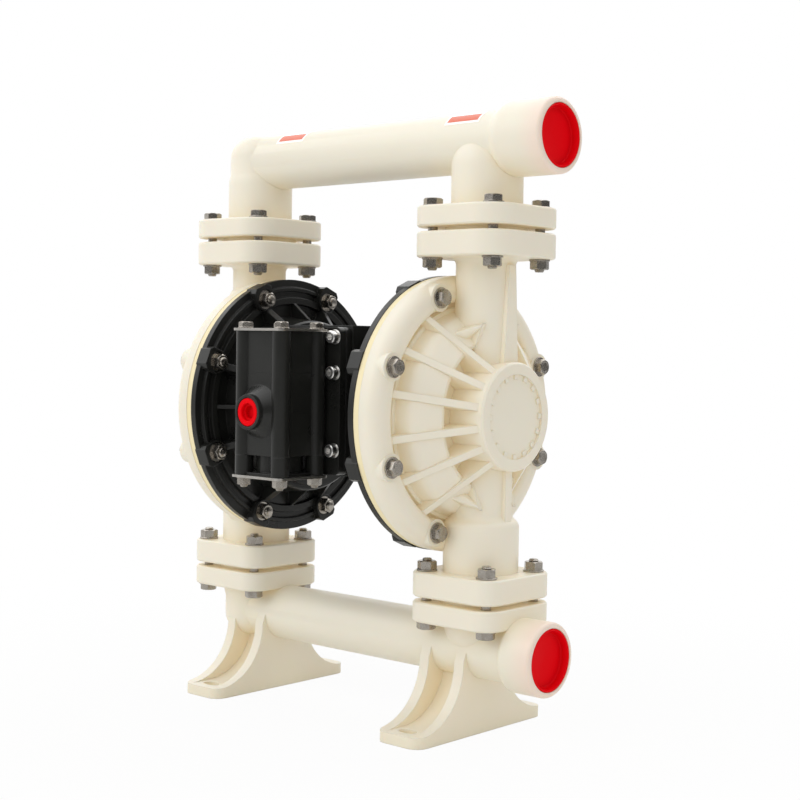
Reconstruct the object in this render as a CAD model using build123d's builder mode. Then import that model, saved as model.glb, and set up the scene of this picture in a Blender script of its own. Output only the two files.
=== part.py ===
from build123d import *
from math import cos, radians, sin, sqrt
import os

os.makedirs("parts", exist_ok=True)

# Air operated double diaphragm pump, millimetres. X runs along the pump's shaft and both pipes, the
# air valve faces -Y, +Z is up. The origin lies on the base plane, midway between the two risers.

# Layout
riser_half = 165.0  # from the middle to each riser
pump_z = 319.0  # height of the shaft
flange_stand = 41.5  # from the chambers' edge out to a chamber flange's sealing face
seat_ring_t = 5.0  # ball seat ring held between two flanges
discharge_neck = 85.5  # from the discharge manifold's face up to its pipe's axis
suction_neck = 47.5  # from the suction manifold's face down to its pipe's axis
port_out = 89.0  # from a riser's axis to the open end of both ports

# Pipe flanges and their bolts
manifold_flange_t = 20.5
cover_flange_t = 25.0
top_flange_half = 58.5
top_flange_corner = 32.0
bottom_flange_half = 54.0
bottom_flange_corner = 21.0
flange_chamfer = 1.5
flange_bolt_offset = 38.0

# M10 and M8 hardware
m10_r = 5.0
m10_hole_r = 5.5
m10_flats = 17.0
m10_head_t = 6.4
m10_nut_t = 8.4
m8_r = 4.0
m8_hole_r = 4.4
m8_flats = 13.0
m8_head_t = 5.3
m8_nut_t = 6.5
socket_head_r = 6.5
socket_head_t = 8.0
socket_flats = 6.0
thread_gap = 0.1  # between a thread and its nut or tapped hole
bolt_end = 3.5  # bolt end standing out of its nut

# Manifolds
pipe_r = 30.0
pipe_bore_r = 24.5
neck_bore_r = 22.0  # passages between the pipes and the chambers
riser_r = 36.0
riser_bore_r = 29.0
elbow_r = 34.0
elbow_round = 24.0
riser_dome_offset = 25.0  # from the pipe's axis to where the riser's dome starts
collar_r = 37.0
collar_lip = 4.0
discharge_collar_length = 70.0
discharge_collar_blend = 19.0
suction_collar_length = 44.0
suction_collar_blend = 10.0
port_thread_r = 29.8  # G2
port_thread_length = 22.0
port_mouth_r = 31.3
port_mouth_depth = 13.0

# Feet of the suction manifold
foot_in = 20.5  # from a riser's axis in to its foot's middle
foot_width = 57.0
foot_half_length = 101.0
foot_plate_t = 11.0
foot_web_t = 12.0
foot_flare_r = 63.0
foot_tip = 4.0  # flat end of a foot's web before its flare begins
foot_core_back = 26.0  # how far the core stays behind the webs' edges
foot_top_in = 10.0
foot_top_h = 17.0  # the webs' top above the pipe's axis
foot_corner_r = 14.0
foot_slot_r = 6.0
foot_slot_length = 20.0
foot_slot_y = 83.0

# Balls, their seats and cages
ball_r = 24.0
ball_lift = 15.0
ball_guide_gap = 0.6
ball_rest_gap = 0.3
seat_ring_r = 41.0
seat_bore_r = 15.5
seat_cone = 4.5
seat_spigot_r = 26.0
seat_spigot_depth = 8.0
seat_fit = 0.3
seal_ring_r = 35.0
seal_section = 3.0
seal_gap = 0.1
cage_rib_t = 4.5
cage_root = 0.5  # how far a cage rib roots into the wall
cage_start = 9.0
cage_top = 6.5  # a cage's thickness above its ball
cage_inset = 2.0  # how far a cage stays out of the pipe

# Outer covers
chamber_r = 140.0
riser_in = 47.0  # from a riser's axis in to the air side face of the clamped diaphragm
diaphragm_t = 7.0
diaphragm_in = 0.5  # a diaphragm's edge sits this far inside the rims
band_top = 22.0  # from the cover's joint face to the top of its bolt band
band_w = 26.0
band_round = 14.0
band_inner_round = 7.0
outer_floor = 7.0
moat_w = 5.5  # flat ground between the band and the ledge
ledge_rise = 3.0
ledge_w = 3.5
ring_edge_x = 50.5
dome_w = 28.0  # from the dome's foot in to the ring edge
ring_edge_w = 3.5
dome_side_x = 19.5  # the dome's shoulder, from its ring edge
dome_side_r = 23.0
dome_round_x = 14.0
dome_round_r = 18.0
inner_foot_x = 5.0  # the pumping chamber's steps, from its mouth and from its roof
inner_foot_r = 6.0
inner_side_x = 9.0
inner_side_r = 18.5
inner_floor = 41.0
valley_w = 23.0  # from the ring edge in to the hub
hub_x = 82.0  # from the joint face to the hub's face
hub_rim_w = 12.0
hub_recess = 2.5
hub_notch_count = 16
hub_notch_w = 5.5
hub_notch_t = 5.0
hub_notch_h = 1.5
hub_round = 2.0
hub_wall = 10.0
cover_wall = 7.0
mouth_in = 11.0  # from the band's inner edge in to the pumping chamber's mouth
rib_t = 7.5
rib_sink = 2.0  # how far ribs, spines and ears run into what they meet
rib_count = 6
rib_pitch = 22.5
rib_foot_x = 18.5
top_neck_r = 30.0
bottom_neck_r = 38.0
neck_fillet = 7.0
neck_sink = 9.0  # how deep a neck roots in the hub
neck_bore_in = 5.0  # how far inside the ring edge a neck's bore ends
shoulder_stand = 69.5  # from a chamber flange's face to the lower neck's shoulder
shoulder_rise = 16.0
spine_w = 10.0
spine_root_w = 22.0
spine_sink = 6.0
horn_y = 27.0
horn_t = 5.0
horn_x = 61.0
horn_foot = 12.0
horn_rise = 15.0
spine_x = 34.0  # how far the neck's outer spine stands from the riser's axis

# Bolt circle of the chambers
bolt_in = 14.5  # from the chambers' edge in to the bolt circle
chamber_bolt_count = 8
chamber_bolt_start = 22.5
bolt_spot_r = 13.8
bolt_spot_h = 22.3

# Air chambers
rim_t = 7.0
rim_ridge_h = 3.5
rim_edge_w = 8.0
outer_ridge_w = 4.5
rim_groove_w = 6.5
inner_ridge_w = 9.0
rim_step = 1.0
dish_w = 18.0
dish_floor = 7.0
drum_round = 4.0
drum_chamfer = 2.0
drum_back = 43.0  # from the diaphragm's face back to the drum's end
drum_wall = 8.0
drum_side = 8.0
bowl_mouth = 2.0  # the bowl's mouth, inside the cover's
bowl_step_x = 6.0
bowl_step_r = 9.0
bowl_slope_x = 12.0
boss_r = 12.6
boss_h = 16.0
boss_over = 1.0  # how far a boss stands out over the rim
boss_corner = 4.0
nut_pocket_r = 10.8
nut_pocket_t = 3.0
thin_rib_t = 4.0
thick_rib_t = 7.0

# Centre body
core_r = 62.0
end_flange_in = 6.0  # inside the drum's edge
end_flange_t = 8.0
spigot_r = 27.0
spigot_fit = 0.3
pad_half = 52.0
pad_low = 66.0
pad_high = 88.0
pad_margin = 4.0
pad_y = 71.5  # from the shaft to the face that the air valve is bolted to
tie_bolt_r = 42.0
tie_count = 4
tie_start = 0.0
tie_depth = 18.0
tap_end = 2.0  # empty thread under a screw's end
exhaust_boss_r = 21.0
exhaust_boss_y = 92.0
exhaust_thread_r = 13.2  # G3/4
exhaust_thread_length = 18.0
exhaust_bore_r = 10.0

# Shaft, bushes and seals
shaft_r = 12.5
shaft_fit = 0.05
bush_r = 18.0
bush_length = 24.0
shaft_seal_t = 6.0
shaft_seal_r = 20.0
shaft_gap_r = 13.5
stroke = 17.0
stud_r = 8.0
stud_length = 9.0
stud_gap = 1.0
inner_plate_in = 3.0  # inside the convolution
inner_plate_t = 10.0
outer_plate_in = 3.0
outer_plate_t = 14.0
outer_plate_flat_r = 28.0
inner_plate_slope = 12.0
plate_edge_t = 4.0
membrane_t = 6.0
convolution_in = 8.0  # inside the pumping chamber's mouth
convolution_w = 18.0
convolution_depth = 7.0
convolution_flank = 5.0

# Pilot rod
pilot_r = 4.0
pilot_y = -26.0
pilot_z = 22.0
pilot_travel = 7.0
pilot_gap = 0.3
pilot_clearance = 1.0  # round the rod between its bushes
pilot_bush_r = 7.5
pilot_bush_length = 14.0

# Air valve
valve_y = -122.5
valve_half_x = 26.0
valve_half_y = 24.5
valve_core_half = 29.0
valve_core_corner = 12.0
valve_post_r = 9.5
valve_top = 81.0
valve_step = 39.0  # top of the block between the valve's core and its flange
valve_ledge = 44.0
valve_bottom = 64.5
valve_cap_core_r = 23.5
valve_cap_base = 3.0
end_plate_t = 2.5
end_plate_x = 72.0
end_plate_y = 69.0
end_plate_corner = 5.0
valve_flange_half = 50.0
valve_flange_t = 8.0
valve_flange_corner = 6.0
gasket_t = 1.5
adapter_t = 7.0
screw_x = 43.0
screw_heights = (76.0, 40.0, -39.0)
screw_grip = 12.0
sleeve_r = 21.0
sleeve_bore_r = 15.0
sleeve_fit = 0.1
sleeve_window_heights = (-16.0, 18.5, 52.0)
spool_fit = 0.05
spool_travel = 12.0
spool_waist_r = 9.0
spool_land = 14.0
inlet_boss_y = 168.0
inlet_boss_r = 17.6
inlet_boss_base_r = 27.0
inlet_boss_cone = 11.0
inlet_thread_r = 10.48  # G1/2
inlet_thread_length = 14.0
inlet_mouth_r = 14.6
inlet_mouth_depth = 9.0
inlet_bore_r = 8.0

# Transport plugs
plug_fit = 0.3
port_plug_rim = 2.5
port_plug_depth = 8.5
port_plug_dish = 2.0
port_plug_draft = 1.0
port_plug_chamfer = 1.0
air_plug_recess_r = 8.9
air_plug_recess = 6.0

# Worked out from the values above
flange_plane = chamber_r + flange_stand
manifold_plane = flange_plane + seat_ring_t
discharge_z = pump_z + manifold_plane + discharge_neck
suction_z = pump_z - manifold_plane - suction_neck
port_x = riser_half + port_out
foot_x = riser_half - foot_in
diaphragm_x = riser_half - riser_in
drum_x = diaphragm_x - drum_back
band_inner_r = chamber_r - band_w
ledge_r = band_inner_r - moat_w
dome_foot_r = ledge_r - ledge_w
ring_edge_r = dome_foot_r - dome_w
hub_r = ring_edge_r - valley_w
hub_recess_r = hub_r - hub_rim_w
hub_hollow_r = hub_r - hub_wall
chamber_mouth_r = band_inner_r - mouth_in
neck_start = hub_r - neck_sink
neck_bore_end = ring_edge_r - neck_bore_in
shoulder_h = flange_plane - shoulder_stand
chamber_bolt_r = chamber_r - bolt_in
rim_ridge_outer = chamber_r - rim_edge_w
rim_groove_outer = rim_ridge_outer - outer_ridge_w
rim_groove_inner = rim_groove_outer - rim_groove_w
dish_outer_r = rim_groove_inner - inner_ridge_w
drum_r = dish_outer_r - dish_w
bowl_r = drum_r - drum_side
boss_reach = chamber_r + boss_over
end_flange_r = drum_r - end_flange_in
convolution_outer_r = chamber_mouth_r - convolution_in
convolution_inner_r = convolution_outer_r - convolution_w
inner_plate_r = convolution_inner_r - inner_plate_in
outer_plate_r = convolution_inner_r - outer_plate_in
manifold_outer = manifold_plane + manifold_flange_t
cover_flange_back = flange_plane - cover_flange_t
cover_x = diaphragm_x + diaphragm_t
contact_r = ball_r / sqrt(2)
ball_above_seat = 2 * contact_r - (seat_bore_r + seat_cone) + ball_rest_gap
cage_r = ball_r + ball_guide_gap
pump_axis = Axis((0, 0, pump_z), (1, 0, 0))
pump_plane = Plane(origin=(0, 0, pump_z), x_dir=(1, 0, 0), z_dir=(0, -1, 0))
bolt_angles = [chamber_bolt_start + k * 360 / chamber_bolt_count for k in range(chamber_bolt_count)]


def facing_right(x):
    return Plane(origin=(x, 0, pump_z), x_dir=(0, 1, 0), z_dir=(1, 0, 0))


def facing_left(x):
    return Plane(origin=(x, 0, pump_z), x_dir=(0, -1, 0), z_dir=(-1, 0, 0))


def facing_front(y):
    return Plane(origin=(0, y, pump_z), x_dir=(1, 0, 0), z_dir=(0, -1, 0))


def facing_down(z):
    return Plane(origin=(0, 0, z), x_dir=(1, 0, 0), z_dir=(0, 0, -1))


def radial_plane(angle):
    # Local x is the pump's X, local y is the distance from the shaft at this angle.
    turn = radians(angle)
    return Plane(origin=(0, 0, pump_z), x_dir=(1, 0, 0), z_dir=(0, -sin(turn), cos(turn)))


def save(builder, name):
    builder.part.label = name
    export_step(builder.part, f"parts/{name}.step")


# ---------------------------------------------------------------- pipes, risers and cages


def flange(places_x, face_plane, thickness, half, corner):
    # Rounded square flanges with chamfered edges, one at each x, standing on a plane.
    with BuildPart() as block:
        with BuildSketch(face_plane):
            with Locations(*[(x, 0) for x in places_x]):
                RectangleRounded(2 * half, 2 * half, corner)
        extrude(amount=thickness)
        faces = block.faces().filter_by(Axis.Z)
        chamfer(faces.edges(), flange_chamfer)
    return block.part


def collared_pipe(axis_z, collar_length, collar_blend):
    plane = Plane(origin=(0, 0, axis_z), x_dir=(1, 0, 0), z_dir=(0, -1, 0))
    collar_start = port_x - collar_length
    collar_full = collar_start + collar_blend
    middle = ((collar_start + collar_full) / 2, (pipe_r + collar_r) / 2)
    with BuildPart() as pipe:
        with BuildSketch(plane):
            with BuildLine():
                Polyline((-riser_half, 0), (-riser_half, pipe_r), (collar_start, pipe_r))
                TangentArc((collar_start, pipe_r), middle, tangent=(1, 0))
                TangentArc((collar_full, collar_r), middle, tangent=(-1, 0))
                Line((collar_full, collar_r), (port_x - collar_lip, collar_r))
                TangentArc((port_x - collar_lip, collar_r), (port_x, collar_r - collar_lip), tangent=(1, 0))
                Polyline((port_x, collar_r - collar_lip), (port_x, 0), (-riser_half, 0))
            make_face()
        revolve(axis=Axis((0, 0, axis_z), (1, 0, 0)))
    return pipe.part


def riser(x, start_z, axis_z, way):
    # A riser from its flange towards the pipe, ending in a dome; way is +1 upwards, -1 downwards.
    dome_z = axis_z - way * riser_dome_offset
    with BuildPart() as body:
        with BuildSketch(Plane(origin=(x, 0, 0), x_dir=(1, 0, 0), z_dir=(0, -1, 0))):
            with BuildLine():
                Polyline((0, start_z), (riser_r, start_z), (riser_r, dome_z))
                TangentArc((riser_r, dome_z), (0, dome_z + way * riser_r), tangent=(0, way))
                Line((0, dome_z + way * riser_r), (0, start_z))
            make_face()
        revolve(axis=Axis((x, 0, 0), (0, 0, 1)))
    return body.part


def elbow(start_z, axis_z, way):
    outer_z = axis_z + way * pipe_r
    with BuildPart() as body:
        with BuildSketch(Plane(origin=(-riser_half, 0, 0), x_dir=(1, 0, 0), z_dir=(0, -1, 0))):
            with BuildLine():
                Polyline((0, start_z), (elbow_r, start_z), (elbow_r, outer_z - way * elbow_round))
                TangentArc(
                    (elbow_r, outer_z - way * elbow_round), (elbow_r - elbow_round, outer_z), tangent=(0, way)
                )
                Polyline((elbow_r - elbow_round, outer_z), (0, outer_z), (0, start_z))
            make_face()
        revolve(axis=Axis((-riser_half, 0, 0), (0, 0, 1)))
    return body.part


def ball_cage(x, floor_z, ball_z, roof_z, bore_r):
    # Four ribs that guide a ball and meet above it as its stop.
    reach = 2 * (bore_r + cage_root)
    with BuildPart() as cage:
        with BuildSketch(Plane.XY.offset(floor_z)):
            with Locations((x, 0)):
                Rectangle(reach, cage_rib_t)
                Rectangle(cage_rib_t, reach)
        extrude(amount=roof_z - floor_z)
        with BuildSketch(Plane.XY.offset(floor_z)):
            with Locations((x, 0)):
                Circle(cage_r)
        extrude(amount=ball_z + ball_lift - floor_z, mode=Mode.SUBTRACT)
        with Locations((x, 0, ball_z + ball_lift)):
            Sphere(cage_r, mode=Mode.SUBTRACT)
    return cage.part


def port_bores(axis_z):
    # Pipe bore, port thread and the smooth mouth that takes a transport plug.
    plane = Plane(origin=(0, 0, axis_z), x_dir=(0, 1, 0), z_dir=(1, 0, 0))
    mouth_x = port_x - port_mouth_depth
    with BuildPart() as bores:
        with BuildSketch(plane.offset(-riser_half)):
            Circle(pipe_bore_r)
        extrude(amount=riser_half + port_x)
        with BuildSketch(plane.offset(mouth_x - port_thread_length)):
            Circle(port_thread_r)
        extrude(amount=port_thread_length)
        with BuildSketch(plane.offset(mouth_x)):
            Circle(port_mouth_r)
        extrude(amount=port_mouth_depth)
    return bores.part


discharge_face = pump_z + manifold_plane
discharge_ball_z = discharge_face + ball_above_seat
discharge_cage_roof = discharge_z - pipe_bore_r - cage_inset
discharge_pipe = collared_pipe(discharge_z, discharge_collar_length, discharge_collar_blend)
discharge_risers = [riser(x, discharge_face, discharge_z, 1) for x in (-riser_half, riser_half)]
discharge_elbow = elbow(discharge_face, discharge_z, 1)
discharge_bores = port_bores(discharge_z)
discharge_cages = [
    ball_cage(x, discharge_face + cage_start, discharge_ball_z, discharge_cage_roof, riser_bore_r)
    for x in (-riser_half, riser_half)
]

discharge_flanges = flange(
    (-riser_half, riser_half),
    Plane.XY.offset(discharge_face),
    manifold_flange_t,
    top_flange_half,
    top_flange_corner,
)

with BuildPart() as discharge_manifold:
    add(discharge_pipe)
    add(discharge_risers)
    add(discharge_elbow)
    add(discharge_flanges)
    add(discharge_bores, mode=Mode.SUBTRACT)
    with BuildSketch(Plane.XY.offset(discharge_face)):
        with Locations((-riser_half, 0), (riser_half, 0)):
            Circle(riser_bore_r)
    extrude(amount=discharge_z - pipe_bore_r - discharge_face, mode=Mode.SUBTRACT)
    with BuildSketch(Plane.XY.offset(discharge_z - pipe_bore_r)):
        with Locations((-riser_half, 0), (riser_half, 0)):
            Circle(neck_bore_r)
    extrude(amount=pipe_bore_r, mode=Mode.SUBTRACT)
    with BuildSketch(Plane.XY.offset(discharge_face)):
        with Locations((-riser_half, 0), (riser_half, 0)):
            with GridLocations(2 * flange_bolt_offset, 2 * flange_bolt_offset, 2, 2):
                Circle(m10_hole_r)
    extrude(amount=manifold_flange_t, mode=Mode.SUBTRACT)
    add(discharge_cages)
save(discharge_manifold, "discharge_manifold")

# ---------------------------------------------------------------- suction manifold with its feet

suction_face = pump_z - manifold_plane
suction_pipe = collared_pipe(suction_z, suction_collar_length, suction_collar_blend)
suction_risers = [riser(x, suction_face, suction_z, -1) for x in (-riser_half, riser_half)]
suction_elbow = elbow(suction_face, suction_z, -1)
suction_bores = port_bores(suction_z)


def flare_profile(back, top_back):
    # A foot's flared outline; back is how far its lower edge stays behind the web's edge.
    flare_y = foot_half_length - foot_tip - back
    flare_z = foot_plate_t + foot_flare_r
    inner_y = flare_y - foot_flare_r
    top_z = suction_z + foot_top_h
    with BuildSketch() as outline:
        with BuildLine():
            for side in (-1, 1):
                Line((0, 0), (side * flare_y, 0))
                Line((side * flare_y, 0), (side * flare_y, foot_plate_t))
                TangentArc((side * flare_y, foot_plate_t), (side * inner_y, flare_z), tangent=(-side, 0))
                Line((side * inner_y, flare_z), (side * (inner_y - top_back), top_z))
            Line((top_back - inner_y, top_z), (inner_y - top_back, top_z))
        make_face()
    return outline.sketch_local


def foot(x):
    # Two flared webs on a plate, with a flared core set back between them.
    web_outline = flare_profile(0, foot_top_in)
    core_outline = flare_profile(foot_core_back, 0)
    with BuildPart() as body:
        with BuildSketch(Plane.XY):
            with Locations((x, 0)):
                RectangleRounded(foot_width, 2 * foot_half_length, foot_corner_r)
        extrude(amount=foot_plate_t)
        for side in (-1, 1):
            web_x = x + side * (foot_width - foot_web_t) / 2
            with BuildSketch(Plane(origin=(web_x, 0, 0), x_dir=(0, 1, 0), z_dir=(1, 0, 0))):
                add(web_outline)
            extrude(amount=foot_web_t / 2, both=True)
        with BuildSketch(Plane(origin=(x, 0, 0), x_dir=(0, 1, 0), z_dir=(1, 0, 0))):
            add(core_outline)
        extrude(amount=foot_width / 2 - foot_web_t, both=True)
        with BuildSketch(Plane.XY):
            with Locations((x, 0)):
                RectangleRounded(foot_width, 2 * foot_half_length, foot_corner_r)
        extrude(amount=suction_z + foot_top_h, mode=Mode.INTERSECT)
        with BuildSketch(Plane.XY):
            with Locations((x, foot_slot_y), (x, -foot_slot_y)):
                SlotOverall(foot_slot_length, 2 * foot_slot_r)
        extrude(amount=foot_plate_t, mode=Mode.SUBTRACT)
    return body.part


feet = [foot(x) for x in (-foot_x, foot_x)]

suction_flanges = flange(
    (-riser_half, riser_half),
    facing_down(suction_face),
    manifold_flange_t,
    bottom_flange_half,
    bottom_flange_corner,
)

with BuildPart() as suction_manifold:
    add(suction_pipe)
    add(suction_risers)
    add(suction_elbow)
    add(feet)
    add(suction_flanges)
    add(suction_bores, mode=Mode.SUBTRACT)
    with BuildSketch(facing_down(suction_face)):
        with Locations((-riser_half, 0), (riser_half, 0)):
            Circle(neck_bore_r)
    extrude(amount=suction_face - suction_z, mode=Mode.SUBTRACT)
    with BuildSketch(facing_down(suction_face)):
        with Locations((-riser_half, 0), (riser_half, 0)):
            Circle(seat_spigot_r)
    extrude(amount=seat_spigot_depth, mode=Mode.SUBTRACT)
    with BuildSketch(facing_down(suction_face)):
        with Locations((-riser_half, 0), (riser_half, 0)):
            with GridLocations(2 * flange_bolt_offset, 2 * flange_bolt_offset, 2, 2):
                Circle(m10_hole_r)
    extrude(amount=manifold_flange_t, mode=Mode.SUBTRACT)
save(suction_manifold, "suction_manifold")

# ---------------------------------------------------------------- ribbed outer covers

suction_ball_z = pump_z - flange_plane + ball_above_seat
cage_roof = suction_ball_z + ball_lift + cage_r + cage_top
rib_angles = [side + rib_pitch * (k - (rib_count - 1) / 2) for side in (0, 180) for k in range(rib_count)]
hub_face = cover_x + hub_x
cover_cage = ball_cage(
    riser_half, pump_z - flange_plane + cage_start, suction_ball_z, cage_roof, riser_bore_r
)


neck_plane = Plane(origin=(riser_half, 0, pump_z), x_dir=(1, 0, 0), z_dir=(0, -1, 0))
cover_flanges = [
    flange(
        (riser_half,),
        Plane.XY.offset(pump_z + cover_flange_back),
        cover_flange_t,
        top_flange_half,
        top_flange_corner,
    ),
    flange(
        (riser_half,),
        facing_down(pump_z - cover_flange_back),
        cover_flange_t,
        bottom_flange_half,
        bottom_flange_corner,
    ),
]

with BuildPart() as right_cover:
    # Bowl with its bolt band, dome, ring edge and hub
    with BuildSketch(pump_plane):
        with BuildLine():
            band_x = cover_x + band_top
            Polyline((cover_x, 0), (cover_x, chamber_r), (band_x - band_round, chamber_r))
            TangentArc((band_x - band_round, chamber_r), (band_x, chamber_r - band_round), tangent=(1, 0))
            Line((band_x, chamber_r - band_round), (band_x, band_inner_r + band_inner_round))
            TangentArc(
                (band_x, band_inner_r + band_inner_round),
                (band_x - band_inner_round, band_inner_r),
                tangent=(0, -1),
            )
            ledge_x = cover_x + outer_floor + ledge_rise
            ring_x = cover_x + ring_edge_x
            Polyline(
                (band_x - band_inner_round, band_inner_r),
                (cover_x + outer_floor, band_inner_r),
                (cover_x + outer_floor, ledge_r),
                (ledge_x, ledge_r),
                (ledge_x, dome_foot_r),
            )
            Polyline(
                (ledge_x, dome_foot_r),
                (ring_x - dome_side_x, ring_edge_r + dome_side_r),
                (ring_x - dome_round_x, ring_edge_r + dome_round_r),
                (ring_x, ring_edge_r),
                (ring_x, ring_edge_r - ring_edge_w),
                (cover_x + inner_floor, ring_edge_r - 2 * ring_edge_w),
                (cover_x + inner_floor, hub_r),
                (hub_face - hub_round, hub_r),
                (hub_face, hub_r - hub_round),
                (hub_face, hub_recess_r),
                (hub_face - hub_recess, hub_recess_r),
                (hub_face - hub_recess, 0),
                (cover_x, 0),
            )
        make_face()
    revolve(axis=pump_axis)
    # Straight ribs from the hub to the bolt band
    with BuildSketch(*[radial_plane(a) for a in rib_angles]):
        Polygon(
            (cover_x + outer_floor - rib_sink, band_inner_r + rib_sink),
            (cover_x + rib_foot_x, band_inner_r + rib_sink),
            (hub_face - 2 * hub_round, hub_r - rib_sink),
            (cover_x + inner_floor - rib_sink, hub_r - rib_sink),
            (cover_x + inner_floor - rib_sink, ring_edge_r - 2 * ring_edge_w),
            (cover_x + outer_floor - rib_sink, dome_foot_r - 2 * rib_sink),
            align=None,
        )
    extrude(amount=rib_t / 2, both=True)
    # Upper neck with its flared foot under the flange
    with BuildSketch(neck_plane):
        with BuildLine():
            Polyline((0, neck_start), (top_neck_r, neck_start), (top_neck_r, cover_flange_back - neck_fillet))
            TangentArc(
                (top_neck_r, cover_flange_back - neck_fillet),
                (top_neck_r + neck_fillet, cover_flange_back),
                tangent=(0, 1),
            )
            Polyline((top_neck_r + neck_fillet, cover_flange_back), (0, cover_flange_back), (0, neck_start))
        make_face()
    revolve(axis=Axis((riser_half, 0, 0), (0, 0, 1)))
    # Lower neck: a bulb round the ball with a rounded shoulder
    with BuildSketch(neck_plane):
        with BuildLine():
            shoulder_mid = ((bottom_neck_r + top_neck_r) / 2, shoulder_rise / 2 - shoulder_h)
            Polyline(
                (0, -cover_flange_back), (bottom_neck_r, -cover_flange_back), (bottom_neck_r, -shoulder_h)
            )
            TangentArc((bottom_neck_r, -shoulder_h), shoulder_mid, tangent=(0, 1))
            TangentArc((top_neck_r, shoulder_rise - shoulder_h), shoulder_mid, tangent=(0, -1))
            Polyline(
                (top_neck_r, shoulder_rise - shoulder_h),
                (top_neck_r, -neck_start),
                (0, -neck_start),
                (0, -cover_flange_back),
            )
        make_face()
    revolve(axis=Axis((riser_half, 0, 0), (0, 0, 1)))
    # Spines on the outer side of both necks
    with BuildSketch(facing_right(riser_half)):
        Polygon(
            (-spine_root_w / 2, hub_r - spine_sink),
            (spine_root_w / 2, hub_r - spine_sink),
            (spine_w / 2, cover_flange_back - neck_fillet),
            (-spine_w / 2, cover_flange_back - neck_fillet),
            align=None,
        )
        Polygon(
            (-spine_w / 2, -shoulder_h),
            (spine_w / 2, -shoulder_h),
            (spine_w / 2, spine_sink - hub_r),
            (-spine_w / 2, spine_sink - hub_r),
            align=None,
        )
    extrude(amount=spine_x)
    # Horns where the ring edge runs into the necks
    for side in (-1, 1):
        with BuildSketch(Plane(origin=(0, side * horn_y, pump_z), x_dir=(1, 0, 0), z_dir=(0, -1, 0))):
            for way in (-1, 1):
                Polygon(
                    (riser_half, way * (ring_edge_r - horn_foot)),
                    (cover_x + ring_edge_x, way * (ring_edge_r - horn_foot)),
                    (cover_x + horn_x, way * (ring_edge_r + horn_rise)),
                    (cover_x + ring_edge_x, way * (ring_edge_r + horn_rise / 2)),
                    (riser_half, way * (ring_edge_r + horn_rise / 2)),
                    align=None,
                )
        extrude(amount=horn_t / 2, both=True)
    # Flanges
    add(cover_flanges)
    # Spot faces for the chamber bolts
    with BuildSketch(facing_right(cover_x)):
        with PolarLocations(chamber_bolt_r, chamber_bolt_count, start_angle=chamber_bolt_start):
            Circle(bolt_spot_r)
    extrude(amount=bolt_spot_h)
    # Pumping chamber, hollow hub and passages
    with BuildSketch(pump_plane):
        with BuildLine():
            roof_x = cover_x + inner_floor - cover_wall
            hollow_x = hub_face - hub_recess - cover_wall
            Polyline(
                (cover_x, 0),
                (cover_x, chamber_mouth_r),
                (cover_x + inner_foot_x, chamber_mouth_r - inner_foot_r),
                (roof_x - inner_side_x, ring_edge_r - ring_edge_w + inner_side_r),
                (roof_x, ring_edge_r - ring_edge_w),
                (roof_x, hub_hollow_r),
                (hollow_x, hub_hollow_r),
                (hollow_x, 0),
                (cover_x, 0),
            )
        make_face()
    revolve(axis=pump_axis, mode=Mode.SUBTRACT)
    with BuildSketch(Plane.XY.offset(pump_z + neck_bore_end)):
        with Locations((riser_half, 0)):
            Circle(neck_bore_r)
    extrude(amount=flange_plane - neck_bore_end, mode=Mode.SUBTRACT)
    with BuildSketch(Plane.XY.offset(pump_z + flange_plane - seat_spigot_depth)):
        with Locations((riser_half, 0)):
            Circle(seat_spigot_r)
    extrude(amount=seat_spigot_depth, mode=Mode.SUBTRACT)
    with BuildSketch(facing_down(pump_z - neck_bore_end)):
        with Locations((riser_half, 0)):
            Circle(neck_bore_r)
    extrude(amount=flange_plane - neck_bore_end, mode=Mode.SUBTRACT)
    with BuildSketch(facing_down(cage_roof)):
        with Locations((riser_half, 0)):
            Circle(riser_bore_r)
    extrude(amount=cage_roof - (pump_z - flange_plane), mode=Mode.SUBTRACT)
    # Bolt holes
    with BuildSketch(facing_right(cover_x)):
        with PolarLocations(chamber_bolt_r, chamber_bolt_count, start_angle=chamber_bolt_start):
            Circle(m10_hole_r)
    extrude(amount=bolt_spot_h, mode=Mode.SUBTRACT)
    with BuildSketch(Plane.XY.offset(pump_z + cover_flange_back), facing_down(pump_z - cover_flange_back)):
        with Locations((riser_half, 0)):
            with GridLocations(2 * flange_bolt_offset, 2 * flange_bolt_offset, 2, 2):
                Circle(m10_hole_r)
    extrude(amount=cover_flange_t, mode=Mode.SUBTRACT)
    add(cover_cage)
    # Notches round the hub's recess
    with BuildSketch(facing_right(hub_face - hub_recess)):
        with PolarLocations(hub_recess_r - hub_notch_t / 2, hub_notch_count):
            Rectangle(hub_notch_t, hub_notch_w)
    extrude(amount=hub_notch_h)
save(right_cover, "right_cover")

with BuildPart() as left_cover:
    mirror(right_cover.part, about=Plane.YZ)
save(left_cover, "left_cover")

# ---------------------------------------------------------------- air chambers


def chamber_rib(outer_r, top_x):
    # Profile of a rib from the bolt ring to the drum, in a radial plane.
    floor_x = diaphragm_x - dish_floor + rim_step
    return Polygon(
        (floor_x, outer_r),
        (top_x, outer_r),
        (drum_x + rim_ridge_h, drum_r - rib_sink),
        (floor_x, drum_r - rib_sink),
        align=None,
    )


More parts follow.
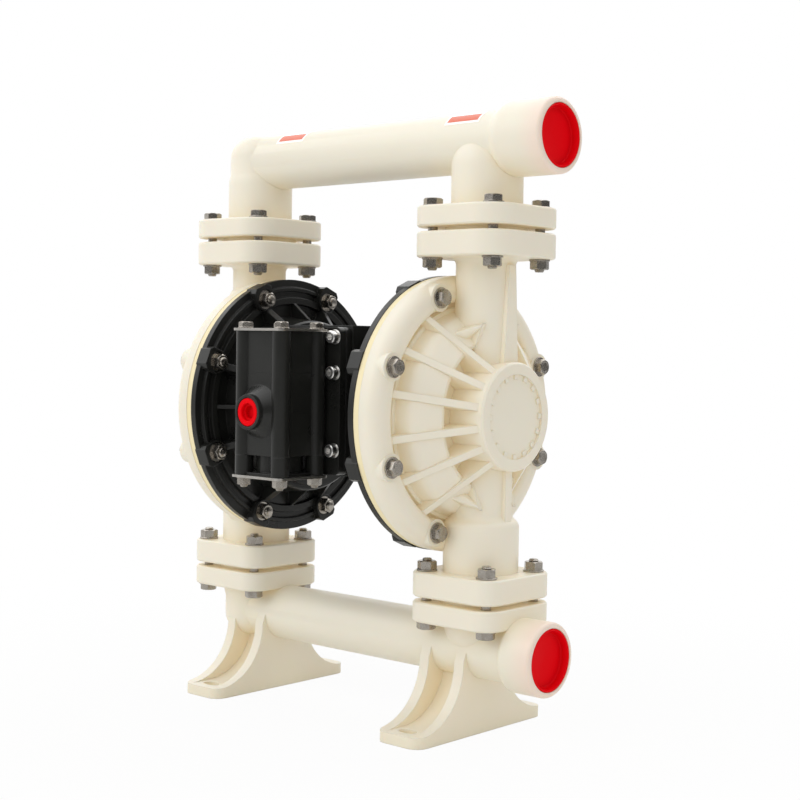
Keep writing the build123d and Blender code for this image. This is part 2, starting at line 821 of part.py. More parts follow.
with BuildPart() as right_air_chamber:
    # Rim with two ridges, dish and drum
    with BuildSketch(pump_plane):
        rim_x = diaphragm_x - rim_t
        ridge_x = rim_x - rim_ridge_h
        Polygon(
            (diaphragm_x, 0),
            (diaphragm_x, chamber_r),
            (rim_x, chamber_r),
            (rim_x, rim_ridge_outer),
            (ridge_x, rim_ridge_outer - rim_step),
            (ridge_x, rim_groove_outer),
            (rim_x, rim_groove_outer - rim_step),
            (rim_x, rim_groove_inner),
            (ridge_x - rim_step, rim_groove_inner - rim_step),
            (ridge_x - rim_step, dish_outer_r + rim_step),
            (diaphragm_x - dish_floor, dish_outer_r),
            (diaphragm_x - dish_floor - rim_step, drum_r + drum_round),
            (drum_x + drum_chamfer, drum_r),
            (drum_x, drum_r - drum_chamfer),
            (drum_x, 0),
            align=None,
        )
    revolve(axis=pump_axis)
    # Thin ribs between the bolts, thick ones behind them
    with BuildSketch(*[radial_plane(a - chamber_bolt_start) for a in bolt_angles]):
        chamber_rib(dish_outer_r + rib_sink, diaphragm_x - dish_floor - rim_ridge_h)
    extrude(amount=thin_rib_t / 2, both=True)
    with BuildSketch(*[radial_plane(a) for a in bolt_angles]):
        chamber_rib(dish_outer_r + rib_sink, diaphragm_x - boss_h + rim_step)
    extrude(amount=thick_rib_t / 2, both=True)
    # Bolt bosses that run out over the rim
    with BuildSketch(facing_left(diaphragm_x)):
        with PolarLocations(chamber_bolt_r, chamber_bolt_count, start_angle=chamber_bolt_start):
            Circle(boss_r)
            boss_out = boss_reach - chamber_bolt_r
            Polygon(
                (0, -boss_r),
                (boss_out - boss_corner, -boss_r),
                (boss_out, boss_corner - boss_r),
                (boss_out, boss_r - boss_corner),
                (boss_out - boss_corner, boss_r),
                (0, boss_r),
                align=None,
            )
    extrude(amount=boss_h)
    # Bowl on the diaphragm's side
    with BuildSketch(pump_plane):
        bowl_mouth_r = chamber_mouth_r - bowl_mouth
        bowl_floor = drum_x + drum_wall
        Polygon(
            (diaphragm_x, 0),
            (diaphragm_x, bowl_mouth_r),
            (diaphragm_x - bowl_step_x, bowl_mouth_r - bowl_step_r),
            (diaphragm_x - bowl_step_x - bowl_slope_x, bowl_r),
            (bowl_floor, bowl_r),
            (bowl_floor, 0),
            align=None,
        )
    revolve(axis=pump_axis, mode=Mode.SUBTRACT)
    # Hole for the centre body's spigot, tie screws, pilot rod and chamber bolts
    with BuildSketch(facing_right(drum_x)):
        Circle(spigot_r + spigot_fit)
        with PolarLocations(tie_bolt_r, tie_count, start_angle=tie_start):
            Circle(m10_hole_r)
        with Locations((pilot_y, pilot_z)):
            Circle(pilot_bush_r + spigot_fit)
    extrude(amount=drum_wall, mode=Mode.SUBTRACT)
    with BuildSketch(facing_left(diaphragm_x)):
        with PolarLocations(chamber_bolt_r, chamber_bolt_count, start_angle=chamber_bolt_start):
            Circle(m10_hole_r)
    extrude(amount=boss_h, mode=Mode.SUBTRACT)
    with BuildSketch(facing_left(diaphragm_x - boss_h + nut_pocket_t)):
        with PolarLocations(chamber_bolt_r, chamber_bolt_count, start_angle=chamber_bolt_start):
            Circle(nut_pocket_r)
    extrude(amount=nut_pocket_t, mode=Mode.SUBTRACT)
save(right_air_chamber, "right_air_chamber")

with BuildPart() as left_air_chamber:
    mirror(right_air_chamber.part, about=Plane.YZ)
save(left_air_chamber, "left_air_chamber")

# ---------------------------------------------------------------- centre body

spigot_end = drum_x + drum_wall
seal_seat = spigot_end - shaft_seal_t
pad_seam = -pad_y

with BuildPart() as centre_body:
    with BuildSketch(facing_right(-drum_x)):
        Circle(core_r)
    extrude(amount=2 * drum_x)
    with BuildSketch(facing_left(drum_x), facing_right(-drum_x)):
        Circle(end_flange_r)
    extrude(amount=end_flange_t)
    with BuildSketch(facing_right(drum_x), facing_left(-drum_x)):
        Circle(spigot_r)
    extrude(amount=drum_wall)
    with BuildSketch(Plane.XY.offset(pump_z - pad_low)):
        with Locations((0, -pad_y / 2)):
            Rectangle(2 * pad_half, pad_y)
    extrude(amount=pad_low + pad_high)
    with BuildSketch(facing_front(0).offset(-exhaust_boss_y)):
        Circle(exhaust_boss_r)
    extrude(amount=exhaust_boss_y)
    # Shaft bore with a bush seat and a seal seat at each end
    with BuildSketch(facing_right(-spigot_end)):
        Circle(shaft_gap_r)
    extrude(amount=2 * spigot_end, mode=Mode.SUBTRACT)
    with BuildSketch(facing_left(seal_seat), facing_right(-seal_seat)):
        Circle(bush_r)
    extrude(amount=bush_length, mode=Mode.SUBTRACT)
    with BuildSketch(facing_left(spigot_end), facing_right(-spigot_end)):
        Circle(shaft_seal_r)
    extrude(amount=shaft_seal_t, mode=Mode.SUBTRACT)
    # Pilot bore with its bush seats
    with BuildSketch(facing_right(-drum_x)):
        with Locations((pilot_y, pilot_z)):
            Circle(pilot_r + pilot_clearance)
    extrude(amount=2 * drum_x, mode=Mode.SUBTRACT)
    with BuildSketch(facing_right(drum_x - pilot_bush_length), facing_right(-spigot_end)):
        with Locations((pilot_y, pilot_z)):
            Circle(pilot_bush_r)
    extrude(amount=pilot_bush_length + drum_wall, mode=Mode.SUBTRACT)
    # Tapped holes for the tie screws and the valve screws
    with BuildSketch(facing_left(drum_x), facing_right(-drum_x)):
        with PolarLocations(tie_bolt_r, tie_count, start_angle=tie_start):
            Circle(m10_r + thread_gap)
    extrude(amount=tie_depth + tap_end, mode=Mode.SUBTRACT)
    with BuildSketch(facing_front(pad_seam)):
        with Locations(*[(side * screw_x, h) for side in (-1, 1) for h in screw_heights]):
            Circle(m8_r + thread_gap)
    extrude(amount=-(screw_grip + tap_end), mode=Mode.SUBTRACT)
    # Exhaust thread and its bore down to the shaft tunnel
    with BuildSketch(facing_front(0).offset(-exhaust_boss_y)):
        Circle(exhaust_bore_r)
    extrude(amount=exhaust_boss_y - core_r / 2, mode=Mode.SUBTRACT)
    with BuildSketch(facing_front(0).offset(-exhaust_boss_y)):
        Circle(exhaust_thread_r)
    extrude(amount=exhaust_thread_length, mode=Mode.SUBTRACT)
save(centre_body, "centre_body")

# ---------------------------------------------------------------- shaft, bushes, seals and diaphragms

hub_front = diaphragm_x + (diaphragm_t - membrane_t) / 2  # air side face of a diaphragm's middle
hub_back = hub_front + membrane_t
shaft_half = hub_front - inner_plate_t
stud_half = hub_back + stud_length

with BuildPart() as shaft:
    with BuildSketch(facing_right(-shaft_half)):
        Circle(shaft_r)
    extrude(amount=2 * shaft_half)
    with BuildSketch(facing_right(-stud_half)):
        Circle(stud_r)
    extrude(amount=2 * stud_half)
save(shaft, "shaft")

with BuildPart() as shaft_bushes:
    with BuildSketch(facing_left(seal_seat), facing_right(-seal_seat)):
        Circle(bush_r - shaft_fit)
        Circle(shaft_r + shaft_fit, mode=Mode.SUBTRACT)
    extrude(amount=bush_length)
save(shaft_bushes, "shaft_bushes")

with BuildPart() as shaft_seals:
    with BuildSketch(facing_left(spigot_end), facing_right(-spigot_end)):
        Circle(shaft_seal_r - shaft_fit)
        Circle(shaft_r + shaft_fit, mode=Mode.SUBTRACT)
    extrude(amount=shaft_seal_t)
save(shaft_seals, "shaft_seals")

with BuildPart() as right_diaphragm:
    with BuildSketch(pump_plane):
        crest = convolution_depth
        Polygon(
            (hub_front, stud_r + stud_gap),
            (hub_front, convolution_inner_r),
            (hub_front - crest, convolution_inner_r + convolution_flank),
            (hub_front - crest, convolution_outer_r - convolution_flank),
            (hub_front, convolution_outer_r),
            (diaphragm_x, chamber_mouth_r + diaphragm_in),
            (diaphragm_x, chamber_r - diaphragm_in),
            (diaphragm_x + diaphragm_t, chamber_r - diaphragm_in),
            (diaphragm_x + diaphragm_t, chamber_mouth_r + diaphragm_in),
            (hub_back, convolution_outer_r),
            (hub_back - crest, convolution_outer_r - convolution_flank),
            (hub_back - crest, convolution_inner_r + convolution_flank),
            (hub_back, convolution_inner_r),
            (hub_back, stud_r + stud_gap),
            align=None,
        )
    revolve(axis=pump_axis)
    with BuildSketch(facing_right(diaphragm_x)):
        with PolarLocations(chamber_bolt_r, chamber_bolt_count, start_angle=chamber_bolt_start):
            Circle(m10_hole_r)
    extrude(amount=diaphragm_t, mode=Mode.SUBTRACT)
save(right_diaphragm, "right_diaphragm")

with BuildPart() as left_diaphragm:
    mirror(right_diaphragm.part, about=Plane.YZ)
save(left_diaphragm, "left_diaphragm")

with BuildPart() as right_inner_plate:
    with BuildSketch(pump_plane):
        Polygon(
            (hub_front - inner_plate_t, stud_r + thread_gap),
            (hub_front - inner_plate_t, inner_plate_r - inner_plate_slope),
            (hub_front - plate_edge_t, inner_plate_r),
            (hub_front, inner_plate_r),
            (hub_front, stud_r + thread_gap),
            align=None,
        )
    revolve(axis=pump_axis)
save(right_inner_plate, "right_inner_plate")

with BuildPart() as left_inner_plate:
    mirror(right_inner_plate.part, about=Plane.YZ)
save(left_inner_plate, "left_inner_plate")

with BuildPart() as right_outer_plate:
    with BuildSketch(pump_plane):
        Polygon(
            (hub_back, stud_r + thread_gap),
            (hub_back, outer_plate_r),
            (hub_back + plate_edge_t, outer_plate_r),
            (hub_back + outer_plate_t, outer_plate_flat_r),
            (hub_back + outer_plate_t, 0),
            (stud_half + stud_gap, 0),
            (stud_half + stud_gap, stud_r + thread_gap),
            align=None,
        )
    revolve(axis=pump_axis)
save(right_outer_plate, "right_outer_plate")

with BuildPart() as left_outer_plate:
    mirror(right_outer_plate.part, about=Plane.YZ)
save(left_outer_plate, "left_outer_plate")

# ---------------------------------------------------------------- pilot rod and its bushes

plate_face = hub_front - inner_plate_t
pilot_half = plate_face - stroke + pilot_travel - pilot_gap

with BuildPart() as pilot_rod:
    with BuildSketch(facing_right(-pilot_half)):
        with Locations((pilot_y, pilot_z)):
            Circle(pilot_r)
    extrude(amount=2 * pilot_half)
save(pilot_rod, "pilot_rod")

with BuildPart() as pilot_bushes:
    with BuildSketch(facing_right(drum_x - pilot_bush_length), facing_right(-spigot_end)):
        with Locations((pilot_y, pilot_z)):
            Circle(pilot_bush_r - shaft_fit)
            Circle(pilot_r + shaft_fit, mode=Mode.SUBTRACT)
    extrude(amount=pilot_bush_length + drum_wall)
save(pilot_bushes, "pilot_bushes")

# ---------------------------------------------------------------- ball valves

# Height of the lower flange face under each ball seat
seat_places = {
    "suction": pump_z - manifold_plane,
    "discharge": pump_z + flange_plane,
}
sides = {"left": -riser_half, "right": riser_half}

for line, low_z in seat_places.items():
    high_z = low_z + seat_ring_t
    for side, x in sides.items():
        with BuildPart() as seat:
            with BuildSketch(Plane(origin=(x, 0, 0), x_dir=(1, 0, 0), z_dir=(0, -1, 0))):
                Polygon(
                    (seat_bore_r, low_z - seat_spigot_depth + seat_fit),
                    (seat_spigot_r - seat_fit, low_z - seat_spigot_depth + seat_fit),
                    (seat_spigot_r - seat_fit, low_z),
                    (seat_ring_r, low_z),
                    (seat_ring_r, high_z),
                    (seal_ring_r + seal_section / 2 + seal_gap, high_z),
                    (seal_ring_r + seal_section / 2 + seal_gap, high_z - seal_section),
                    (seal_ring_r - seal_section / 2 - seal_gap, high_z - seal_section),
                    (seal_ring_r - seal_section / 2 - seal_gap, high_z),
                    (seat_bore_r + seat_cone, high_z),
                    (seat_bore_r, high_z - seat_cone),
                    align=None,
                )
            revolve(axis=Axis((x, 0, 0), (0, 0, 1)))
        save(seat, f"{line}_seat_{side}")
        with BuildPart() as ball:
            with Locations((x, 0, high_z + ball_above_seat)):
                Sphere(ball_r)
        save(ball, f"{line}_ball_{side}")

with BuildPart() as seat_seals:
    with BuildSketch(*[Plane.XY.offset(low_z + seat_ring_t) for low_z in seat_places.values()]):
        with Locations((-riser_half, 0), (riser_half, 0)):
            Circle(seal_ring_r + seal_section / 2)
            Circle(seal_ring_r - seal_section / 2, mode=Mode.SUBTRACT)
    extrude(amount=-seal_section)
save(seat_seals, "seat_seals")

# ---------------------------------------------------------------- air valve

gasket_y = pad_seam - adapter_t
flange_back_y = gasket_y - gasket_t
flange_front_y = flange_back_y - valve_flange_t
post_points = [(sx * valve_half_x, valve_y + sy * valve_half_y) for sx in (-1, 1) for sy in (-1, 1)]
screw_points = [(side * screw_x, h) for side in (-1, 1) for h in screw_heights]


def valve_plate(builder_plane, thickness, hole_r):
    with BuildPart() as plate:
        with BuildSketch(builder_plane):
            with Locations((0, (pad_high - pad_low) / 2)):
                RectangleRounded(2 * valve_flange_half, pad_high + pad_low - pad_margin, valve_flange_corner)
            with Locations(*screw_points):
                Circle(hole_r, mode=Mode.SUBTRACT)
        extrude(amount=-thickness)
    return plate.part


with BuildPart() as valve_adapter:
    add(valve_plate(facing_front(gasket_y), adapter_t, m8_hole_r))
save(valve_adapter, "valve_adapter")

with BuildPart() as valve_gasket:
    add(valve_plate(facing_front(flange_back_y), gasket_t, m8_hole_r))
save(valve_gasket, "valve_gasket")

valve_mount = valve_plate(facing_front(flange_front_y), valve_flange_t, m8_hole_r)

with BuildPart() as valve_body:
    add(valve_mount)
    with BuildSketch(Plane.XY.offset(pump_z - valve_ledge)):
        with Locations((0, valve_y)):
            RectangleRounded(2 * valve_core_half, 2 * valve_core_half, valve_core_corner)
        with Locations(*post_points):
            Circle(valve_post_r)
    extrude(amount=valve_ledge + valve_top)
    with BuildSketch(Plane.XY.offset(pump_z - valve_ledge)):
        with Locations((0, (valve_y + flange_back_y) / 2)):
            Rectangle(2 * valve_core_half, abs(valve_y - flange_back_y))
    extrude(amount=valve_ledge + valve_step)
    # Air inlet boss on a cone
    with BuildSketch(facing_front(-inlet_boss_y)):
        Circle(inlet_boss_r)
    extrude(amount=-(inlet_boss_y + valve_y))
    with BuildSketch(facing_front(valve_y - valve_core_half - inlet_boss_cone)):
        Circle(inlet_boss_r)
    with BuildSketch(facing_front(valve_y - valve_core_half)):
        Circle(inlet_boss_base_r)
    loft()
    # Sleeve bore, inlet passage and bolt holes
    with BuildSketch(Plane.XY.offset(pump_z - valve_ledge)):
        with Locations((0, valve_y)):
            Circle(sleeve_r)
    extrude(amount=valve_ledge + valve_top, mode=Mode.SUBTRACT)
    with BuildSketch(facing_front(-inlet_boss_y)):
        Circle(inlet_bore_r)
    extrude(amount=-(inlet_boss_y + valve_y), mode=Mode.SUBTRACT)
    with BuildSketch(facing_front(-inlet_boss_y)):
        Circle(inlet_thread_r)
    extrude(amount=-(inlet_mouth_depth + inlet_thread_length), mode=Mode.SUBTRACT)
    with BuildSketch(facing_front(-inlet_boss_y)):
        Circle(inlet_mouth_r)
    extrude(amount=-inlet_mouth_depth, mode=Mode.SUBTRACT)
    with BuildSketch(Plane.XY.offset(pump_z - valve_ledge)):
        with Locations(*post_points):
            Circle(m8_hole_r)
    extrude(amount=valve_ledge + valve_top, mode=Mode.SUBTRACT)
save(valve_body, "valve_body")

with BuildPart() as valve_lower_cap:
    with BuildSketch(Plane.XY.offset(pump_z - valve_bottom)):
        with Locations((0, valve_y)):
            Circle(valve_cap_core_r)
        with Locations(*post_points):
            Circle(valve_post_r)
    extrude(amount=valve_bottom - valve_ledge)
    with BuildSketch(Plane.XY.offset(pump_z - valve_bottom)):
        with Locations((0, valve_y)):
            RectangleRounded(2 * valve_core_half, 2 * valve_core_half, valve_core_corner)
    extrude(amount=valve_cap_base)
    with BuildSketch(Plane.XY.offset(pump_z - valve_bottom)):
        with Locations(*post_points):
            Circle(m8_hole_r)
    extrude(amount=valve_bottom - valve_ledge, mode=Mode.SUBTRACT)
save(valve_lower_cap, "valve_lower_cap")

for name, plate_z in (
    ("valve_top_plate", pump_z + valve_top),
    ("valve_bottom_plate", pump_z - valve_bottom - end_plate_t),
):
    with BuildPart() as end_plate:
        with BuildSketch(Plane.XY.offset(plate_z)):
            with Locations((0, valve_y)):
                RectangleRounded(end_plate_x, end_plate_y, end_plate_corner)
            with Locations(*post_points):
                Circle(m8_hole_r, mode=Mode.SUBTRACT)
        extrude(amount=end_plate_t)
    save(end_plate, name)

with BuildPart() as valve_sleeve:
    with BuildSketch(Plane.XY.offset(pump_z - valve_ledge)):
        with Locations((0, valve_y)):
            Circle(sleeve_r - sleeve_fit)
            Circle(sleeve_bore_r, mode=Mode.SUBTRACT)
    extrude(amount=valve_ledge + valve_top)
    with Locations(*[(0, valve_y, pump_z + h) for h in sleeve_window_heights]):
        Box(3 * sleeve_r, inlet_bore_r, inlet_bore_r, mode=Mode.SUBTRACT)
    with Locations((0, valve_y, pump_z)):
        Box(inlet_bore_r, 3 * sleeve_r, inlet_bore_r, mode=Mode.SUBTRACT)
save(valve_sleeve, "valve_sleeve")

spool_low = pump_z - valve_ledge + pilot_gap
spool_high = pump_z + valve_top - spool_travel - pilot_gap
spool_pitch = (spool_high - spool_low - spool_land) / 3

with BuildPart() as valve_spool:
    with BuildSketch(Plane.XY.offset(spool_low)):
        with Locations((0, valve_y)):
            Circle(spool_waist_r)
    extrude(amount=spool_high - spool_low)
    with BuildSketch(*[Plane.XY.offset(spool_low + k * spool_pitch) for k in range(4)]):
        with Locations((0, valve_y)):
            Circle(sleeve_bore_r - spool_fit)
    extrude(amount=spool_land)
save(valve_spool, "valve_spool")

# ---------------------------------------------------------------- transport plugs

for name, axis_z in (("outlet_plug", discharge_z), ("inlet_plug", suction_z)):
    plug_plane = Plane(origin=(0, 0, axis_z), x_dir=(1, 0, 0), z_dir=(0, -1, 0))
    plug_back = port_x - port_mouth_depth + plug_fit
    plug_r = port_mouth_r - plug_fit
    cup_r = plug_r - port_plug_rim - port_plug_draft
    dish_x = port_x - port_plug_depth - port_plug_dish
    with BuildPart() as plug:
        with BuildSketch(plug_plane):
            Polygon(
                (dish_x, 0),
                (plug_back, 0),
                (plug_back, plug_r - port_plug_chamfer),
                (plug_back + port_plug_chamfer, plug_r),
                (port_x, plug_r),
                (port_x, cup_r + port_plug_draft),
                (dish_x + port_plug_dish, cup_r),
                align=None,
            )
        revolve(axis=Axis((0, 0, axis_z), (1, 0, 0)))
    save(plug, name)

with BuildPart() as air_inlet_plug:
    with BuildSketch(facing_front(-inlet_boss_y)):
        Circle(inlet_mouth_r - plug_fit)
    extrude(amount=-(inlet_mouth_depth - plug_fit))
    with BuildSketch(facing_front(-inlet_boss_y)):
        Circle(air_plug_recess_r)
    extrude(amount=-air_plug_recess, mode=Mode.SUBTRACT)
save(air_inlet_plug, "air_inlet_plug")

# ---------------------------------------------------------------- fasteners

spot_x = cover_x + bolt_spot_h
nut_seat_x = diaphragm_x - boss_h + nut_pocket_t
chamber_grip = spot_x - nut_seat_x + m10_nut_t + bolt_end
flange_grip = manifold_outer - cover_flange_back + m10_nut_t + bolt_end
valve_grip = valve_top + valve_bottom + 2 * end_plate_t + m8_nut_t + bolt_end
screw_seat_y = flange_front_y
screw_length = valve_flange_t + gasket_t + adapter_t + screw_grip

with BuildPart() as chamber_bolts:
    with BuildSketch(facing_right(spot_x), facing_left(-spot_x)):
        with PolarLocations(chamber_bolt_r, chamber_bolt_count, start_angle=chamber_bolt_start):
            RegularPolygon(m10_flats / 2, 6, major_radius=False)
    extrude(amount=m10_head_t)
    with BuildSketch(facing_right(spot_x), facing_left(-spot_x)):
        with PolarLocations(chamber_bolt_r, chamber_bolt_count, start_angle=chamber_bolt_start):
            Circle(m10_r)
    extrude(amount=-chamber_grip)
save(chamber_bolts, "chamber_bolts")

with BuildPart() as chamber_nuts:
    with BuildSketch(facing_left(nut_seat_x), facing_right(-nut_seat_x)):
        with PolarLocations(chamber_bolt_r, chamber_bolt_count, start_angle=chamber_bolt_start):
            RegularPolygon(m10_flats / 2, 6, major_radius=False)
            Circle(m10_r + thread_gap, mode=Mode.SUBTRACT)
    extrude(amount=m10_nut_t)
save(chamber_nuts, "chamber_nuts")

with BuildPart() as flange_bolts:
    with BuildSketch(Plane.XY.offset(pump_z + manifold_outer), facing_down(pump_z - manifold_outer)):
        with Locations((-riser_half, 0), (riser_half, 0)):
            with GridLocations(2 * flange_bolt_offset, 2 * flange_bolt_offset, 2, 2):
                RegularPolygon(m10_flats / 2, 6, major_radius=False)
    extrude(amount=m10_head_t)
    with BuildSketch(Plane.XY.offset(pump_z + manifold_outer), facing_down(pump_z - manifold_outer)):
        with Locations((-riser_half, 0), (riser_half, 0)):
            with GridLocations(2 * flange_bolt_offset, 2 * flange_bolt_offset, 2, 2):
                Circle(m10_r)
    extrude(amount=-flange_grip)
save(flange_bolts, "flange_bolts")

with BuildPart() as flange_nuts:
    with BuildSketch(facing_down(pump_z + cover_flange_back), Plane.XY.offset(pump_z - cover_flange_back)):
        with Locations((-riser_half, 0), (riser_half, 0)):
            with GridLocations(2 * flange_bolt_offset, 2 * flange_bolt_offset, 2, 2):
                RegularPolygon(m10_flats / 2, 6, major_radius=False)
                Circle(m10_r + thread_gap, mode=Mode.SUBTRACT)
    extrude(amount=m10_nut_t)
save(flange_nuts, "flange_nuts")

with BuildPart() as valve_bolts:
    with BuildSketch(Plane.XY.offset(pump_z + valve_top + end_plate_t)):
        with Locations(*post_points):
            RegularPolygon(m8_flats / 2, 6, major_radius=False)
    extrude(amount=m8_head_t)
    with BuildSketch(Plane.XY.offset(pump_z + valve_top + end_plate_t)):
        with Locations(*post_points):
            Circle(m8_r)
    extrude(amount=-valve_grip)
save(valve_bolts, "valve_bolts")

with BuildPart() as valve_nuts:
    with BuildSketch(Plane.XY.offset(pump_z - valve_bottom - end_plate_t)):
        with Locations(*post_points):
            RegularPolygon(m8_flats / 2, 6, major_radius=False)
            Circle(m8_r + thread_gap, mode=Mode.SUBTRACT)
    extrude(amount=-m8_nut_t)
save(valve_nuts, "valve_nuts")

with BuildPart() as valve_screws:
    with BuildSketch(facing_front(screw_seat_y)):
        with Locations(*screw_points):
            Circle(socket_head_r)
    extrude(amount=socket_head_t)
    with BuildSketch(facing_front(screw_seat_y)):
        with Locations(*screw_points):
            Circle(m8_r)
    extrude(amount=-screw_length)
    with BuildSketch(facing_front(screw_seat_y - socket_head_t)):
        with Locations(*screw_points):
            RegularPolygon(socket_flats / 2, 6, major_radius=False)
    extrude(amount=-socket_head_t / 2, mode=Mode.SUBTRACT)
save(valve_screws, "valve_screws")

with BuildPart() as tie_screws:
    with BuildSketch(facing_right(spigot_end), facing_left(-spigot_end)):
        with PolarLocations(tie_bolt_r, tie_count, start_angle=tie_start):
            RegularPolygon(m10_flats / 2, 6, major_radius=False)
    extrude(amount=m10_head_t)
    with BuildSketch(facing_right(spigot_end), facing_left(-spigot_end)):
        with PolarLocations(tie_bolt_r, tie_count, start_angle=tie_start):
            Circle(m10_r)
    extrude(amount=-(drum_wall + tie_depth))
save(tie_screws, "tie_screws")
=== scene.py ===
from math import cos, pi, radians, sin

import bpy
from mathutils import Matrix, Vector


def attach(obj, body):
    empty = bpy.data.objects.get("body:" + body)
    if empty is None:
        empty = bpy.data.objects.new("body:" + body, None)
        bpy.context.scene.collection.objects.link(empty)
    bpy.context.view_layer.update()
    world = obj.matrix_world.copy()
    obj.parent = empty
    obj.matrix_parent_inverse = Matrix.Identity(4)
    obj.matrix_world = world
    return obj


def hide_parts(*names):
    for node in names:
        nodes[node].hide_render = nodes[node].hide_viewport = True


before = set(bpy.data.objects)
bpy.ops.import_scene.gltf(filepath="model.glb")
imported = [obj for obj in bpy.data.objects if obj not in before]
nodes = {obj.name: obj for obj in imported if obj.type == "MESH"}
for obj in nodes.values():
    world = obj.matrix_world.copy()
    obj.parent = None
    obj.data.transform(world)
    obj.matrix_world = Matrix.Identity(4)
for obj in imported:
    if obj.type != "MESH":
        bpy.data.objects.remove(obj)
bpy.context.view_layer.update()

# Places that many pieces share, in metres
layout = {
    "riserX": 0.165,
    "pumpZ": 0.319,
    "flangeBolt": 0.038,
    "manifoldOuter": 0.207,
    "coverFlangeBack": 0.1565,
    "boltCircle": 0.1255,
    "chamberBolts": 8,
    "coverSpotX": 0.1473,
    "chamberNutX": 0.105,
    "valveY": -0.1225,
    "valvePostX": 0.026,
    "valvePostY": 0.0245,
    "valveTop": 0.0835,
    "valveBottom": 0.067,
    "valveFlangeY": -0.088,
    "valveScrewX": 0.043,
    "valveScrewZ": (0.076, 0.040, -0.039),
    "outletZ": 0.591,
    "inletZ": 0.085,
}
smoothAngle = 32  # degrees up to which neighbouring faces shade as one surface
weldDistance = 0.000005


# Small helpers for modelling

def clearSelection():
    if bpy.context.object and bpy.context.object.mode != "OBJECT":
        bpy.ops.object.mode_set(mode="OBJECT")
    bpy.ops.object.select_all(action="DESELECT")


def makeActive(piece):
    clearSelection()
    piece.select_set(True)
    bpy.context.view_layer.objects.active = piece


def applyModifier(piece, kind, **values):
    makeActive(piece)
    modifier = piece.modifiers.new(kind.title(), kind)
    for name, value in values.items():
        setattr(modifier, name, value)
    bpy.ops.object.modifier_apply(modifier=modifier.name)


def turned(name, profile, segments=64, hole=False):
    # A shape turned about Z from rings of (height, radius); with a hole the last ring joins the first
    clearSelection()
    height, radius = profile[0]
    fill = "NOTHING" if hole else "NGON"
    bpy.ops.mesh.primitive_circle_add(vertices=segments, radius=radius, fill_type=fill, location=(0, 0, height))
    piece = bpy.context.object
    piece.name = name
    bpy.ops.object.transform_apply(location=True, rotation=True, scale=True)
    bpy.ops.object.mode_set(mode="EDIT")
    bpy.ops.mesh.select_all(action="SELECT")
    for nextHeight, nextRadius in profile[1:]:
        if hole:
            bpy.ops.mesh.extrude_edges_move(TRANSFORM_OT_translate={"value": (0, 0, nextHeight - height)})
        else:
            bpy.ops.mesh.extrude_region_move(TRANSFORM_OT_translate={"value": (0, 0, nextHeight - height)})
        ratio = nextRadius / radius
        bpy.ops.transform.resize(value=(ratio, ratio, 1), center_override=(0, 0, nextHeight))
        height, radius = nextHeight, nextRadius
    if hole:
        bpy.ops.mesh.select_all(action="DESELECT")
        bpy.ops.mesh.select_non_manifold()
        bpy.ops.mesh.bridge_edge_loops()
    bpy.ops.mesh.select_all(action="SELECT")
    bpy.ops.mesh.normals_make_consistent(inside=False)
    bpy.ops.object.mode_set(mode="OBJECT")
    return piece


hexBar = {
    "chamfer": 0.0011,
    "below": 0.001,
    "width": 1.02,
    "shoulder": 0.97,
    "above": 0.0001,
    "tip": 0.001,
    "sides": 48,
}


def hexPrism(name, flats, low, high):
    # A hexagon cut down at its corners by a chamfered round bar, as a nut or bolt head is
    clearSelection()
    corner = flats / 2 / cos(pi / 6)
    middle = (0, 0, (low + high) / 2)
    bpy.ops.mesh.primitive_cylinder_add(vertices=6, radius=corner, depth=high - low, location=middle)
    piece = bpy.context.object
    piece.name = name
    bar = turned(
        name + "Bar",
        [
            (low - hexBar["below"], corner * hexBar["width"]),
            (high - hexBar["chamfer"], corner * hexBar["width"]),
            (high, flats / 2 * hexBar["shoulder"]),
            (high + hexBar["above"], hexBar["tip"]),
        ],
        hexBar["sides"],
    )
    applyModifier(piece, "BOOLEAN", operation="INTERSECT", object=bar, solver="EXACT")
    bpy.data.objects.remove(bar)
    return piece


def joined(name, pieces):
    clearSelection()
    for piece in pieces:
        piece.select_set(True)
    bpy.context.view_layer.objects.active = pieces[0]
    if len(pieces) > 1:
        bpy.ops.object.join()
    piece = bpy.context.object
    piece.name = name
    return piece


def placeAt(piece, spots):
    # One copy of a piece, modelled along +Z, at each spot of (place, direction, turn)
    copies = []
    for place, direction, turn in spots:
        makeActive(piece)
        bpy.ops.object.duplicate(linked=False)
        copy = bpy.context.object
        facing = Vector(direction).to_track_quat("Z", "Y").to_matrix().to_4x4()
        copy.matrix_world = Matrix.Translation(place) @ facing @ Matrix.Rotation(turn, 4, "Z")
        bpy.ops.object.transform_apply(location=True, rotation=True, scale=True)
        copies.append(copy)
    return copies


def setDown(piece, place, angle, axis):
    # Turns a piece modelled along Z and moves it into place, both within its mesh
    piece.matrix_world = Matrix.Translation(place) @ Matrix.Rotation(angle, 4, axis)
    makeActive(piece)
    bpy.ops.object.transform_apply(location=True, rotation=True, scale=True)


def smoothShade(piece):
    makeActive(piece)
    bpy.ops.object.shade_smooth_by_angle(angle=radians(smoothAngle))


def paint(piece, material):
    piece.data.materials.clear()
    piece.data.materials.append(material)
    for polygon in piece.data.polygons:
        polygon.material_index = 0


def finishPiece(piece, name, material, body, replaced=()):
    piece.name = name
    smoothShade(piece)
    paint(piece, material)
    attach(piece, body)
    if replaced:
        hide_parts(*replaced)


